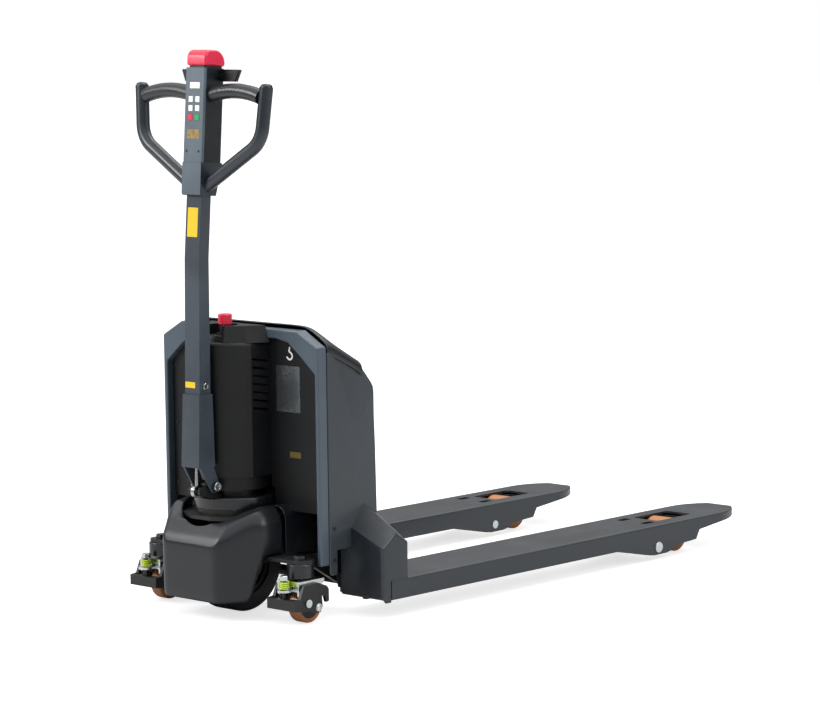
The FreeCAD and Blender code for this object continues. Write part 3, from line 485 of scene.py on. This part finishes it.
def blend_between(value, low, high):
    t = min(1.0, max(0.0, (value - low) / (high - low)))
    return t * t * (3 - 2 * t)


# %% The cowl's shell
OPENING_R = 117.0
CREASE_FRONT, CREASE_SIDE = 174, 209        # height of the crease ahead and on the flanks
FOOT_FRONT, FOOT_BACK = 41, 142             # height of the lower edge ahead and over the wheel
SHOULDER = [(0, 0), (2, 6), (12, 27), (26, 38), (80, 44)]     # inwards and up from the crease
COWL_TOP = [(-290, 160), (-287, 166), (-279, 184), (-251, 217), (-205, 240), (-165, 250), (-100, 250)]


def along(points, place):
    """Height of a line through the points at a place."""
    for (p0, z0), (p1, z1) in zip(points, points[1:]):
        if place <= p1:
            return z0 + (z1 - z0) * (max(place, p0) - p0) / (p1 - p0)
    return points[-1][1]


def shell_column(phi):
    """Radius and height pairs from the lower edge of the cowl up and over into its opening."""
    turn = abs(math.degrees(phi))
    radius = smooth_radius(phi)
    edge = CREASE_FRONT + (CREASE_SIDE - CREASE_FRONT) * blend_between(turn, 28, 62)
    back = blend_between(STEER_Y - radius * math.cos(phi), -232, -196)
    low = FOOT_FRONT + (FOOT_BACK - FOOT_FRONT) * back
    column = [(radius - 1.5, low), (radius - 0.5, low + 0.35 * (edge - low)),
              (radius, low + 0.75 * (edge - low)), (radius, edge - 9)]
    mouth = OPENING_R + 5
    inner = radius - 20
    reach = [radius - inward for inward in (1, 3.5, 8, 14, 20)]
    reach += [inner + share * (mouth - inner) for share in (0.35, 0.7, 1.0)]
    for r in reach:
        rolled = edge + along(SHOULDER, radius - r)
        column.append((r, min(rolled, along(COWL_TOP, STEER_Y - r * math.cos(phi)))))
    rim = column[-1][1]
    return column + [(OPENING_R + 1.5, rim), (OPENING_R + 0.5, rim - 3), (OPENING_R + 0.5, rim - 10)]


def cowl_shell():
    bm = bmesh.new()
    limit = math.radians(88.8)
    count = 72
    rings = []
    for i in range(count + 1):
        phi = -limit + 2 * limit * i / count
        rings.append([bm.verts.new(at(r * math.sin(phi), STEER_Y - r * math.cos(phi), z))
                      for r, z in shell_column(phi)])
    for a, b in zip(rings, rings[1:]):
        for j in range(len(a) - 1):
            bm.faces.new((a[j], b[j], b[j + 1], a[j + 1]))
    middle = at(0, STEER_Y, 120)
    face_outward(bm, lambda f: f.normal.dot(f.calc_center_median() - middle))
    return bm


cowl = new_piece("drive_cowl", cowl_shell(), "cowl_plastic", "drive_base",
                 ["drive_shroud"], sharp=80)
wall = cowl.modifiers.new("wall", "SOLIDIFY")
wall.thickness = 0.0035
wall.offset = -1.0
rounding = cowl.modifiers.new("moulding", "SUBSURF")
rounding.levels = rounding.render_levels = 1

# %% [markdown]
# ## Folded and moulded panels
# Sheet steel has a small bend radius and moulded covers a larger one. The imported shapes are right, so these
# pieces are copies with their edges rounded, which is what catches the light.

# %% Soft-edged copies
SOFT = [
    ("heel_covers", "charcoal_coat", "hood_grey", 0.004, 3),
    ("front_rim", "rim_paint", "rim_grey", 0.004, 3),
    ("rear_cover", "hood_paint", "hood_grey", 0.002, 2),
    ("tiller_sleeve", "tiller_coat", "fork_charcoal", 0.0018, 2),
    ("tiller_tube", "tiller_coat", "fork_charcoal", 0.0022, 3),
    ("handle_head", "cowl_plastic", "cover_black", 0.002, 2),
    ("reverse_button", "signal_red", "red", 0.005, 4),
    ("throttle_flaps", "column_plastic", "cover_black", 0.0012, 2),
]
for node, finish_name, slot, width, segments in SOFT:
    softened(node, finish_name, width, segments)

# %% [markdown]
# ## Rear fenders
# Behind the cowl a second pair of mouldings carries its flank on to the hood. Their outer top edge is a
# wide roll like the cowl's own, so each is an outline across the truck, drawn out along it and closed at
# both ends, with a bevel on the end edges.

# %% Fenders, right side then mirrored
FENDER_ENDS = (-133.0, -47.5)
FENDER_X = 149.5
FENDER_LIP_X = 112.0
FENDER_FOOT = 139.0
FENDER_SHOULDER = 216.0
FENDER_ROLL = 30.0
FENDER_WALL = 3.5


def fender(side):
    middle = FENDER_X - FENDER_ROLL
    top = FENDER_SHOULDER + FENDER_ROLL
    roll = [math.radians(90 * k / 8) for k in range(9)]
    inside = FENDER_ROLL - FENDER_WALL
    profile = [(FENDER_X, FENDER_FOOT)]
    profile += [(middle + FENDER_ROLL * math.cos(a), FENDER_SHOULDER + FENDER_ROLL * math.sin(a))
                for a in roll]
    profile += [(FENDER_LIP_X, top), (FENDER_LIP_X, top - FENDER_WALL)]
    profile += [(middle + inside * math.cos(a), FENDER_SHOULDER + inside * math.sin(a))
                for a in roll[::-1]]
    profile.append((FENDER_X - FENDER_WALL, FENDER_FOOT))
    bm = bmesh.new()
    front, back = ([bm.verts.new(at(side * x, y, z)) for x, z in profile] for y in FENDER_ENDS)
    count = len(profile)
    for i in range(count):
        j = (i + 1) % count
        bm.faces.new((front[i], front[j], back[j], back[i]))
    bm.faces.new(front[::-1])
    bm.faces.new(back)
    bmesh.ops.recalc_face_normals(bm, faces=bm.faces)
    return bm


for side, label in ((1, "right"), (-1, "left")):
    piece = new_piece(f"fender_{label}", fender(side), "cowl_plastic", "drive_base",
                      ["shroud_sides"], sharp=40)
    bevelled(piece, 0.0012, 2, angle=40)

# %% [markdown]
# ## Wheel centres and bolt heads
# Caster wheels are a urethane band on a dark core, and the bright pieces of a caster are its spring nut and
# axle ends. A turned disc is a short ring of profile points spun about an axis.

# %% Turned discs


def disc(name, centre, axis, profile, finish_name, body, sides=40, sharp=35.0):
    """Spin (radius, height) points, in millimetres, about an axis through the centre."""
    turn = Vector((0, 0, 1)).rotation_difference(Vector(axis)).to_matrix()
    bm = bmesh.new()
    rings = []
    for r, h in profile:
        ring = [(r * math.cos(2 * math.pi * k / sides), r * math.sin(2 * math.pi * k / sides), h)
                for k in range(sides)]
        rings.append([bm.verts.new(centre + turn @ Vector(p) / 1000) for p in ring])
    bridge(bm, rings)
    bm.faces.new(rings[0][::-1])
    bm.faces.new(rings[-1])
    bmesh.ops.recalc_face_normals(bm, faces=bm.faces)
    return new_piece(name, bm, finish_name, body, sharp=sharp)


CASTER_X = 222.0
for side, label in ((1, "right"), (-1, "left")):
    for out, end in ((1, "outer"), (-1, "inner")):
        axle = at(side * CASTER_X, -150, 37.5)
        disc(f"caster_core_{label}_{end}", axle + Vector((out * 0.0118, 0, 0)), (out, 0, 0),
             [(28.5, 0), (28.5, 2.6), (27.5, 3.4), (13, 3.4), (12, 2.6), (8, 2.6)],
             "frame_paint", f"caster_{label}")
        disc(f"axle_end_{label}_{end}", axle + Vector((out * 0.0432, 0, 0)), (out, 0, 0),
             [(9, 0), (9, 1.4), (8.2, 2.2), (6.2, 2.2), (6.2, 3.4), (5.2, 4)],
             "zinc_plate", f"arm_{label}")
    disc(f"spring_nut_{label}", at(side * CASTER_X, -212, 101.3), (0, 0, 1),
         [(11.5, 0), (11.5, 1.6), (10.2, 1.7), (10.2, 9.2), (8.8, 10.3), (3, 10.3)],
         "zinc_plate", f"arm_{label}", sides=6, sharp=20)
    disc(f"pin_cap_{label}", at(side * 28, -249, 513), (side, 0, 0),
         [(7.8, -4.6), (7.8, 0.2), (7, 1), (4.4, 1), (4, 0.3), (2, 0.3)], "zinc_plate", "tiller")
    disc(f"pivot_cap_{label}", at(side * 38, -229, 290), (side, 0, 0),
         [(10.3, -1), (10.3, 0.2), (9.3, 1.2), (6, 1.2), (5.4, 0.2), (3, 0.2)],
         "zinc_plate", "steering_head")

# %% [markdown]
# ## The faceted hood sides
# Each side of the hood is one panel with three shallow facets: a flat front strip, a wide facet that leans
# in towards the top, and a narrow one that leans in towards the rear edge. The two folds meet low on the
# panel and fade out. The panel is a polygon mesh whose folds are edges; a bevel rounds them.

# %% Hood panel, right side, then its mirror image


HOOD_SIDE_X = 247.0


def hood_panel(side):
    outline = [(-88, 96, 0), (-94.5, 100, 0), (-94.5, 586, 0), (-88, 588, 0), (-67, 578, 5), (0, 547, 6),
               (50, 511, 7), (57, 500, 8), (58, 486, 8), (58, 372, 4), (58, 150, 0), (30, 150, 0),
               (20, 150, 0), (-22, 150, 0), (-70, 150, 0), (-71, 96, 0)]
    bm = bmesh.new()
    rim = [bm.verts.new(at(side * (HOOD_SIDE_X - inset), y, z)) for y, z, inset in outline]
    fold_low = bm.verts.new(at(side * HOOD_SIDE_X, -21, 280))
    fold_left = bm.verts.new(at(side * HOOD_SIDE_X, -21, 437))
    fold_right = bm.verts.new(at(side * HOOD_SIDE_X, 9, 427))
    faces = [
        [0, 1, 2, 3, 4, "L", "B", 13, 14, 15],
        [4, 5, 6, 7, 8, "R", "L"],
        [8, 9, 10, 11, 12, "B", "R"],
        ["L", "R", "B"],
        [12, 13, "B"],
    ]
    named = {"L": fold_left, "R": fold_right, "B": fold_low}
    for face in faces:
        bm.faces.new([named[k] if isinstance(k, str) else rim[k] for k in face])
    face_outward(bm, lambda f: f.normal.x * side * f.calc_area())
    return bm


for side, label in ((1, "right"), (-1, "left")):
    panel = new_piece(f"hood_panel_{label}", hood_panel(side), "hood_paint", "carriage",
                      ["side_panels"], sharp=3)
    thickness = panel.modifiers.new("sheet", "SOLIDIFY")
    thickness.thickness = 0.005
    thickness.offset = -1.0
    bevelled(panel, 0.003, 3, angle=2.0)

# %% [markdown]
# ## The battery lid
# The lid is a vacuum-formed cover: flat along the middle, rolled over at both sides, and falling towards the
# forks. It is a grid of stations along the truck, each with the same few points across, finished by a wall
# and a subdivision surface.

# %% Lid stations and section
LID_CROWN = [(-92, 643), (-78, 642), (18, 572)]
LID_SHOULDER = [(-92, 611), (-78, 609), (18, 557)]
LID_SKIRT = [(-92, 584), (-67, 574), (0, 541), (18, 526)]


def lid_section(y, closed=False):
    """Points across the lid at one station; a closed section lies at the height of the skirt."""
    crown, shoulder, skirt = (along(line, y) for line in (LID_CROWN, LID_SHOULDER, LID_SKIRT))
    half = [(0, crown), (80, crown), (150, crown), (178, crown - 1.5), (196, crown - 7),
            (234, shoulder + 4), (243, shoulder - 5), (246, shoulder - 14), (246, skirt)]
    if closed:
        half = [(x, min(z, skirt + 8)) for x, z in half]
    return [(-x, z) for x, z in half[:0:-1]] + half


def lid_shell():
    bm = bmesh.new()
    rows = [(y, False) for y in (-92, -88, -78, -60, -30, 0, 12, 16.5)] + [(17.5, False), (18, True)]
    rings = [[bm.verts.new(at(x, y, z)) for x, z in lid_section(y, closed)] for y, closed in rows]
    bridge(bm, rings, closed=False)
    face_outward(bm, lambda f: f.normal.z * f.calc_area())
    return bm


lid = new_piece("lid_cover", lid_shell(), "lid_plastic", "battery_lid", ["battery_lid"],
                sharp=80)
wall = lid.modifiers.new("wall", "SOLIDIFY")
wall.thickness = 0.0035
wall.offset = -1.0
rounding = lid.modifiers.new("forming", "SUBSURF")
rounding.levels = rounding.render_levels = 2

# %% [markdown]
# ## Labels and plates
# Stickers are thin rounded cards that lie on a surface. They stay plain, since a patch of colour says
# enough. A card is built from its centre and the two directions it lies along.

# %% Cards with rounded corners


def card(name, centre, right, up, width, height, thickness, finish_name, body, radius=2.0):
    """A thin rounded card. Sizes are in millimetres; right and up are unit directions."""
    right, up = Vector(right).normalized(), Vector(up).normalized()
    out = right.cross(up)
    corners = rounded_rectangle(width / 2, height / 2, radius)
    bm = bmesh.new()
    back = [bm.verts.new(centre + (right * u + up * v) * 0.001) for u, v in corners]
    face = bm.faces.new(back)
    raised = bmesh.ops.extrude_face_region(bm, geom=[face])
    moved = [g for g in raised["geom"] if isinstance(g, bmesh.types.BMVert)]
    bmesh.ops.translate(bm, verts=moved, vec=out * thickness * 0.001)
    bmesh.ops.recalc_face_normals(bm, faces=bm.faces)
    return new_piece(name, bm, finish_name, body)


POLE_UP = (0, 12, 155)
SLEEVE_UP = (0, 7.6, 331)
LID_UP = (0, 98, -72)
UP = (0, 0, 1)
RIGHT = (1, 0, 0)
FRONT_Y = -106.0                # the front cover's outer face
card("pole_label", at(-1, -251.95, 872), RIGHT, POLE_UP, 32, 64, 0.35, "label_yellow", "tiller")
card("pole_band", at(-6, -264.45, 516), RIGHT, SLEEVE_UP, 31, 13, 0.35, "label_yellow", "tiller", 1)
card("rating_plate", at(138, FRONT_Y, 502), RIGHT, UP, 73, 102, 0.7, "plate_metal", "carriage")
# The cover label is yellow; its darker finish is painted shade where it sits in shadow.
card("cover_label", at(157, FRONT_Y, 357), RIGHT, UP, 34, 13, 0.4, "label_yellow_painted_shade", "carriage", 1)
card("lid_label", at(95, -35, 617.2), RIGHT, LID_UP, 60, 24, 0.4, "label_white", "battery_lid")

# %% [markdown]
# ## Things on the leaning handle
# The head leans away from the operator, so its display and sticker are placed in the head's own upright
# coordinates and then turned about the same corner as the head.

# %% Lean a point with the handle
HANDLE_CORNER = (-256.0, 931.0)
HANDLE_LEAN = math.radians(-4.3)


def on_head(x, y, z):
    dy, dz = y - HANDLE_CORNER[0], z - HANDLE_CORNER[1]
    cos, sin = math.cos(HANDLE_LEAN), math.sin(HANDLE_LEAN)
    return at(x, HANDLE_CORNER[0] + dy * cos - dz * sin, HANDLE_CORNER[1] + dy * sin + dz * cos)


HEAD_UP = on_head(0, 0, 1) - on_head(0, 0, 0)
card("display", on_head(0, -255.2, 1169.5), RIGHT, HEAD_UP, 31, 13.5, 0.6, "label_white", "tiller",
     1)
card("head_sticker", on_head(0, -256, 1064), RIGHT, HEAD_UP, 38, 20, 0.35, "label_tan", "tiller",
     1.5)

# %% [markdown]
# ## Ends of the handle
# A rubber boot fills the gap between the head and the red button. The
# loops end in domed plugs, and a slate plate faces the neck.

# %% Boot, plugs and neck plate
BUTTON_Y = -225.0
BOOT_FOOT = 1208.2


def boot_wall():
    """A rounded block, a little smaller than the button, from the head up to its underside."""
    corners = rounded_rectangle(27, 26, 6)
    bm = bmesh.new()
    rings = [[bm.verts.new(on_head(x, BUTTON_Y + y, z)) for x, y in corners]
             for z in (BOOT_FOOT, BOOT_FOOT + 2, BOOT_FOOT + 4)]
    bridge(bm, rings)
    bm.faces.new(rings[0][::-1])
    bm.faces.new(rings[-1])
    bmesh.ops.recalc_face_normals(bm, faces=bm.faces)
    return bm


boot = new_piece("button_boot", boot_wall(), "frame_paint", "tiller")
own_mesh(boot)
card("neck_plate", on_head(0, -257.0, 967.5), RIGHT, HEAD_UP, 59, 70, 0.4, "fascia_plastic", "tiller",
     3)
for side, label in ((1, "right"), (-1, "left")):
    disc(f"loop_plug_{label}", on_head(side * 197, -231, 1166), tuple(HEAD_UP),
         [(12.6, 0), (13.4, 1), (13.2, 4), (11.5, 7), (8, 9), (3, 9.8)], "loop_coat", "tiller")

# %% [markdown]
# ## Springs and screws with Geometry Nodes
# A coil spring and a scatter of equal screws both follow a rule, so both are Geometry Nodes trees. The
# spring sweeps a round profile along a spiral. The screws are copied onto the points of a small guide mesh
# and turned to a stored direction. Each result is turned into a plain mesh.

# %% Build and bake a Geometry Nodes tree


def new_tree(name, inputs):
    tree = bpy.data.node_groups.new(name, "GeometryNodeTree")
    tree.interface.new_socket(name="Geometry", in_out="INPUT", socket_type="NodeSocketGeometry")
    for label, kind, value in inputs:
        socket = tree.interface.new_socket(name=label, in_out="INPUT", socket_type=kind)
        if value is not None:
            socket.default_value = value
    tree.interface.new_socket(name="Geometry", in_out="OUTPUT", socket_type="NodeSocketGeometry")
    return tree, tree.nodes.new("NodeGroupInput"), tree.nodes.new("NodeGroupOutput")


def bake(tree, guide, values, name, body, stands_for=()):
    """Run the tree on a guide mesh with these input values and keep the result as a plain piece."""
    holder = bpy.data.objects.new(name, guide)
    modifier = holder.modifiers.new("nodes", "NODES")
    modifier.node_group = tree
    for item in tree.interface.items_tree:
        if item.in_out == "INPUT" and item.name in values:
            modifier[item.identifier] = values[item.name]
    bpy.context.scene.collection.objects.link(holder)
    evaluated = holder.evaluated_get(bpy.context.evaluated_depsgraph_get())
    mesh = bpy.data.meshes.new_from_object(evaluated)
    holder.modifiers.remove(modifier)
    holder.data = mesh
    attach(holder, body)
    if stands_for:
        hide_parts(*stands_for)
    print(f"{name}: {len(mesh.polygons)} faces on {body}")
    return holder


# %% The coil spring tree


def spring_tree():
    tree, given, out = new_tree("coil_spring", [
        ("Centre", "NodeSocketVector", (0, 0, 0)), ("Coil Radius", "NodeSocketFloat", 0.01),
        ("Wire", "NodeSocketFloat", 0.0015), ("Height", "NodeSocketFloat", 0.02),
        ("Turns", "NodeSocketFloat", 4.0), ("Finish", "NodeSocketMaterial", None)])
    spiral = tree.nodes.new("GeometryNodeCurveSpiral")
    spiral.inputs["Resolution"].default_value = 20
    tree.links.new(given.outputs["Turns"], spiral.inputs["Rotations"])
    tree.links.new(given.outputs["Coil Radius"], spiral.inputs["Start Radius"])
    tree.links.new(given.outputs["Coil Radius"], spiral.inputs["End Radius"])
    tree.links.new(given.outputs["Height"], spiral.inputs["Height"])
    profile = tree.nodes.new("GeometryNodeCurvePrimitiveCircle")
    profile.inputs["Resolution"].default_value = 10
    tree.links.new(given.outputs["Wire"], profile.inputs["Radius"])
    sweep = tree.nodes.new("GeometryNodeCurveToMesh")
    sweep.inputs["Fill Caps"].default_value = True
    tree.links.new(spiral.outputs[0], sweep.inputs["Curve"])
    tree.links.new(profile.outputs[0], sweep.inputs["Profile Curve"])
    move = tree.nodes.new("GeometryNodeTransform")
    tree.links.new(sweep.outputs[0], move.inputs["Geometry"])
    tree.links.new(given.outputs["Centre"], move.inputs["Translation"])
    smooth = tree.nodes.new("GeometryNodeSetShadeSmooth")
    tree.links.new(move.outputs[0], smooth.inputs["Geometry"])
    real = tree.nodes.new("GeometryNodeRealizeInstances")
    tree.links.new(smooth.outputs[0], real.inputs["Geometry"])
    paint = tree.nodes.new("GeometryNodeSetMaterial")
    tree.links.new(real.outputs[0], paint.inputs["Geometry"])
    tree.links.new(given.outputs["Finish"], paint.inputs["Material"])
    tree.links.new(paint.outputs[0], out.inputs[0])
    return tree


COIL = spring_tree()
for label in ("left", "right"):
    low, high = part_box(f"caster_spring_{label}")
    middle = (low + high) / 2
    spring = bake(COIL, bpy.data.meshes.new("guide"), {
        "Centre": (middle.x, middle.y, low.z + 0.0016), "Coil Radius": 0.0098, "Wire": 0.0017,
        "Height": high.z - low.z - 0.0032, "Turns": 4.0, "Finish": FINISHES["spring_paint"],
    }, f"rocker_spring_{label}", f"arm_{label}", [f"caster_spring_{label}"])
    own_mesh(spring)

# %% The screw tree: cap screws on points, turned to a stored direction


def screw_tree():
    tree, given, out = new_tree("cap_screws", [
        ("Head Radius", "NodeSocketFloat", 0.004), ("Head Height", "NodeSocketFloat", 0.002),
        ("Finish", "NodeSocketMaterial", None)])
    head = tree.nodes.new("GeometryNodeMeshCone")
    head.inputs["Vertices"].default_value = 20
    top_radius = math_node(tree, "MULTIPLY", given.outputs["Head Radius"], 0.86)
    tree.links.new(top_radius, head.inputs["Radius Top"])
    tree.links.new(given.outputs["Head Radius"], head.inputs["Radius Bottom"])
    tree.links.new(given.outputs["Head Height"], head.inputs["Depth"])
    socket = tree.nodes.new("GeometryNodeMeshCone")
    socket.inputs["Vertices"].default_value = 6
    socket_radius = math_node(tree, "MULTIPLY", given.outputs["Head Radius"], 0.5)
    tree.links.new(socket_radius, socket.inputs["Radius Top"])
    tree.links.new(socket_radius, socket.inputs["Radius Bottom"])
    tree.links.new(given.outputs["Head Height"], socket.inputs["Depth"])
    sink = tree.nodes.new("GeometryNodeTransform")
    tree.links.new(socket.outputs["Mesh"], sink.inputs["Geometry"])
    lift = tree.nodes.new("ShaderNodeCombineXYZ")
    tree.links.new(math_node(tree, "MULTIPLY", given.outputs["Head Height"], 0.5), lift.inputs["Z"])
    tree.links.new(lift.outputs[0], sink.inputs["Translation"])
    hollow = tree.nodes.new("GeometryNodeMeshBoolean")
    hollow.operation = "DIFFERENCE"
    tree.links.new(head.outputs["Mesh"], hollow.inputs["Mesh 1"])
    tree.links.new(sink.outputs[0], hollow.inputs["Mesh 2"])
    direction = tree.nodes.new("GeometryNodeInputNamedAttribute")
    direction.data_type = "FLOAT_VECTOR"
    direction.inputs["Name"].default_value = "facing"
    align = tree.nodes.new("FunctionNodeAlignRotationToVector")
    align.axis = "Z"
    tree.links.new(direction.outputs["Attribute"], align.inputs["Vector"])
    copies = tree.nodes.new("GeometryNodeInstanceOnPoints")
    tree.links.new(given.outputs["Geometry"], copies.inputs["Points"])
    tree.links.new(hollow.outputs["Mesh"], copies.inputs["Instance"])
    tree.links.new(align.outputs["Rotation"], copies.inputs["Rotation"])
    real = tree.nodes.new("GeometryNodeRealizeInstances")
    tree.links.new(copies.outputs[0], real.inputs["Geometry"])
    paint = tree.nodes.new("GeometryNodeSetMaterial")
    tree.links.new(real.outputs[0], paint.inputs["Geometry"])
    tree.links.new(given.outputs["Finish"], paint.inputs["Material"])
    tree.links.new(paint.outputs[0], out.inputs[0])
    return tree


SCREWS = screw_tree()


def screws(name, spots, radius, height, finish_name, body):
    """Cap screws at (point, direction) spots."""
    guide = bpy.data.meshes.new(f"{name}_guide")
    guide.from_pydata([point for point, _ in spots], [], [])
    facing = guide.attributes.new("facing", "FLOAT_VECTOR", "POINT")
    for item, (_, direction) in zip(facing.data, spots):
        item.vector = Vector(direction).normalized()
    return bake(SCREWS, guide, {"Head Radius": radius / 1000, "Head Height": height / 1000,
                                "Finish": FINISHES[finish_name]}, name, body)


# %% Place the screws
HEAD_OUT = on_head(0, -1, 0) - on_head(0, 0, 0)
screws("fascia_screws", [(on_head(x, -255.4, 1027), HEAD_OUT) for x in (-19, 19)], 2.8, 1.2,
       "frame_paint", "tiller")
SCREW_CIRCLE = 86
ring_spots = [(at(SCREW_CIRCLE * math.cos(a), STEER_Y + SCREW_CIRCLE * math.sin(a), 237), UP)
              for a in (math.radians(45 * i) for i in range(8))]
screws("ring_screws", ring_spots, 5, 4, "ground_steel", "drive_base")
screws("cover_screws", [(at(x, FRONT_Y, z), (0, -1, 0)) for x in (-222, 222) for z in (262, 400, 530)], 4, 2,
       "frame_paint", "carriage")
screws("panel_screws", [(at(s * HOOD_SIDE_X, -80, z), (s, 0, 0)) for s in (-1, 1) for z in (130, 200)],
       4.5, 1.6, "frame_paint", "carriage")

# %% [markdown]
# ## The hook mark
# The front cover carries a small white lifting-hook mark, a common symbol for a lifting point. It is a bent
# strip: a round wire bent along a spline, flattened against the cover.

# %% Lifting-hook mark


def hook_mark():
    curve = bpy.data.curves.new("hook_line", "CURVE")
    curve.dimensions = "3D"
    line = curve.splines.new("NURBS")
    points = [(0, 15), (0, 10), (-3, 6), (6, 1), (9, -5), (5, -12), (-4, -13), (-9, -7)]
    line.points.add(len(points) - 1)
    for point, (u, v) in zip(line.points, points):
        point.co = (*at(144 + u, FRONT_Y - 0.2, 580 + v), 1.0)
    line.order_u = 3
    line.use_endpoint_u = True
    curve.bevel_depth = 0.002
    curve.resolution_u = 8
    holder = bpy.data.objects.new("hook_line", curve)
    bpy.context.scene.collection.objects.link(holder)
    mesh = bpy.data.meshes.new_from_object(holder.evaluated_get(bpy.context.evaluated_depsgraph_get()))
    bpy.data.objects.remove(holder)
    bm = bmesh.new()
    bm.from_mesh(mesh)
    plane = at(0, FRONT_Y - 0.2, 0).y
    for vert in bm.verts:
        vert.co.y = plane + (vert.co.y - plane) * 0.2
    return bm


new_piece("hook_mark", hook_mark(), "label_white", "carriage")

# %% [markdown]
# ## Floor, light and camera
# The truck stands on a pale floor in a plain studio. The sky is dim at the horizon and bright overhead, so
# tops shine and sides stay deep. One softbox high on the operator's side models the fronts, one above
# draws the highlights on the tops, and a weak one fills the right side.

# %% Floor: pale, and a little brighter to the eye than to the truck, so that only soft shadows show
def seen_directly(tree, seen, otherwise):
    """A value that is one number for what the camera sees and another for the light it gives."""
    path = tree.nodes.new("ShaderNodeLightPath")
    node = tree.nodes.new("ShaderNodeMapRange")
    tree.links.new(path.outputs["Is Camera Ray"], node.inputs["Value"])
    node.inputs["To Min"].default_value = otherwise
    node.inputs["To Max"].default_value = seen
    return node.outputs["Result"]


floor_mesh = bpy.data.meshes.new("floor")
floor_mesh.from_pydata([(-30, -30, 0), (30, -30, 0), (30, 30, 0), (-30, 30, 0)], [], [(0, 1, 2, 3)])
floor = bpy.data.objects.new("floor", floor_mesh)
bpy.context.scene.collection.objects.link(floor)
floor_paint = bpy.data.materials.new("floor_paint")
floor_paint.use_nodes = True
floor_shader = floor_paint.node_tree.nodes["Principled BSDF"]
floor_shader.inputs["Base Color"].default_value = (0.7, 0.7, 0.7, 1)
floor_shader.inputs["Roughness"].default_value = 0.3
floor_shader.inputs["Emission Color"].default_value = (1, 1, 1, 1)
floor_paint.node_tree.links.new(seen_directly(floor_paint.node_tree, 0.70, 0.0),
                                floor_shader.inputs["Emission Strength"])
floor_mesh.materials.append(floor_paint)
floor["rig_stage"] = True

# %% Light: the sky and three softboxes
HORIZON, ZENITH = 0.10, 1.5
world = bpy.data.worlds.new("studio")
bpy.context.scene.world = world
world.use_nodes = True
sky = world.node_tree
backdrop = sky.nodes["Background"]
backdrop.inputs["Color"].default_value = (1, 1, 1, 1)
height = sky.nodes.new("ShaderNodeSeparateXYZ")
sky.links.new(sky.nodes.new("ShaderNodeTexCoord").outputs["Generated"], height.inputs[0])
dome = ramp_node(sky, height.outputs["Z"], 0.0, 0.9, HORIZON, ZENITH)
shown = seen_directly(sky, 1.0, 0.0)
given = math_node(sky, "MULTIPLY", dome, seen_directly(sky, 0.0, 1.0))
sky.links.new(math_node(sky, "ADD", shown, given), backdrop.inputs["Strength"])


def softbox(name, position, target, width, height, power):
    data = bpy.data.lights.new(name, "AREA")
    data.shape = "RECTANGLE"
    data.size, data.size_y = width, height
    data.energy = power
    lamp = bpy.data.objects.new(name, data)
    bpy.context.scene.collection.objects.link(lamp)
    lamp.location = position
    lamp.rotation_mode = "QUATERNION"
    lamp.rotation_quaternion = (Vector(target) - Vector(position)).to_track_quat("-Z", "Y")
    return lamp


softbox("front_softbox", (-2.2, -3.6, 2.4), (0, -0.6, 0.4), 1.8, 1.2, 90)
softbox("top_softbox", (0.2, 0.4, 3.4), (0, 0, 0.2), 2.6, 2.0, 40)
softbox("side_softbox", (4.2, 0.4, 2.2), (0, 0, 0.4), 1.4, 1.4, 40)

# %% Camera: where it stands, and how it is turned, in degrees
CAMERA_PLACE = (5094.1, -4983.9, 1365.7)
AZIMUTH, ELEVATION, ROLL = (math.radians(a) for a in (43.25, 6.64, -0.78))
back = Vector((math.sin(AZIMUTH) * math.cos(ELEVATION), -math.cos(AZIMUTH) * math.cos(ELEVATION),
               math.sin(ELEVATION)))
level_right = Vector((math.cos(AZIMUTH), math.sin(AZIMUTH), 0))
level_up = back.cross(level_right)
right = level_right * math.cos(ROLL) + level_up * math.sin(ROLL)
up = level_up * math.cos(ROLL) - level_right * math.sin(ROLL)
camera_data = bpy.data.cameras.new("camera")
camera_data.lens = 140.14
camera_data.sensor_width = 36
camera_data.clip_start, camera_data.clip_end = 0.1, 100
camera = bpy.data.objects.new("camera", camera_data)
bpy.context.scene.collection.objects.link(camera)
camera.matrix_world = (Matrix.Translation(at(*CAMERA_PLACE))
                       @ Matrix((right, up, back)).transposed().to_4x4())
bpy.context.scene.camera = camera
bpy.context.scene.view_settings.view_transform = "Standard"
print("camera at", tuple(round(v, 3) for v in camera.location))

# %% [markdown]
# ## Finish
# The size of the finished object is printed.

# %% Print the size
low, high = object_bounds()
print("visual box", low, high)
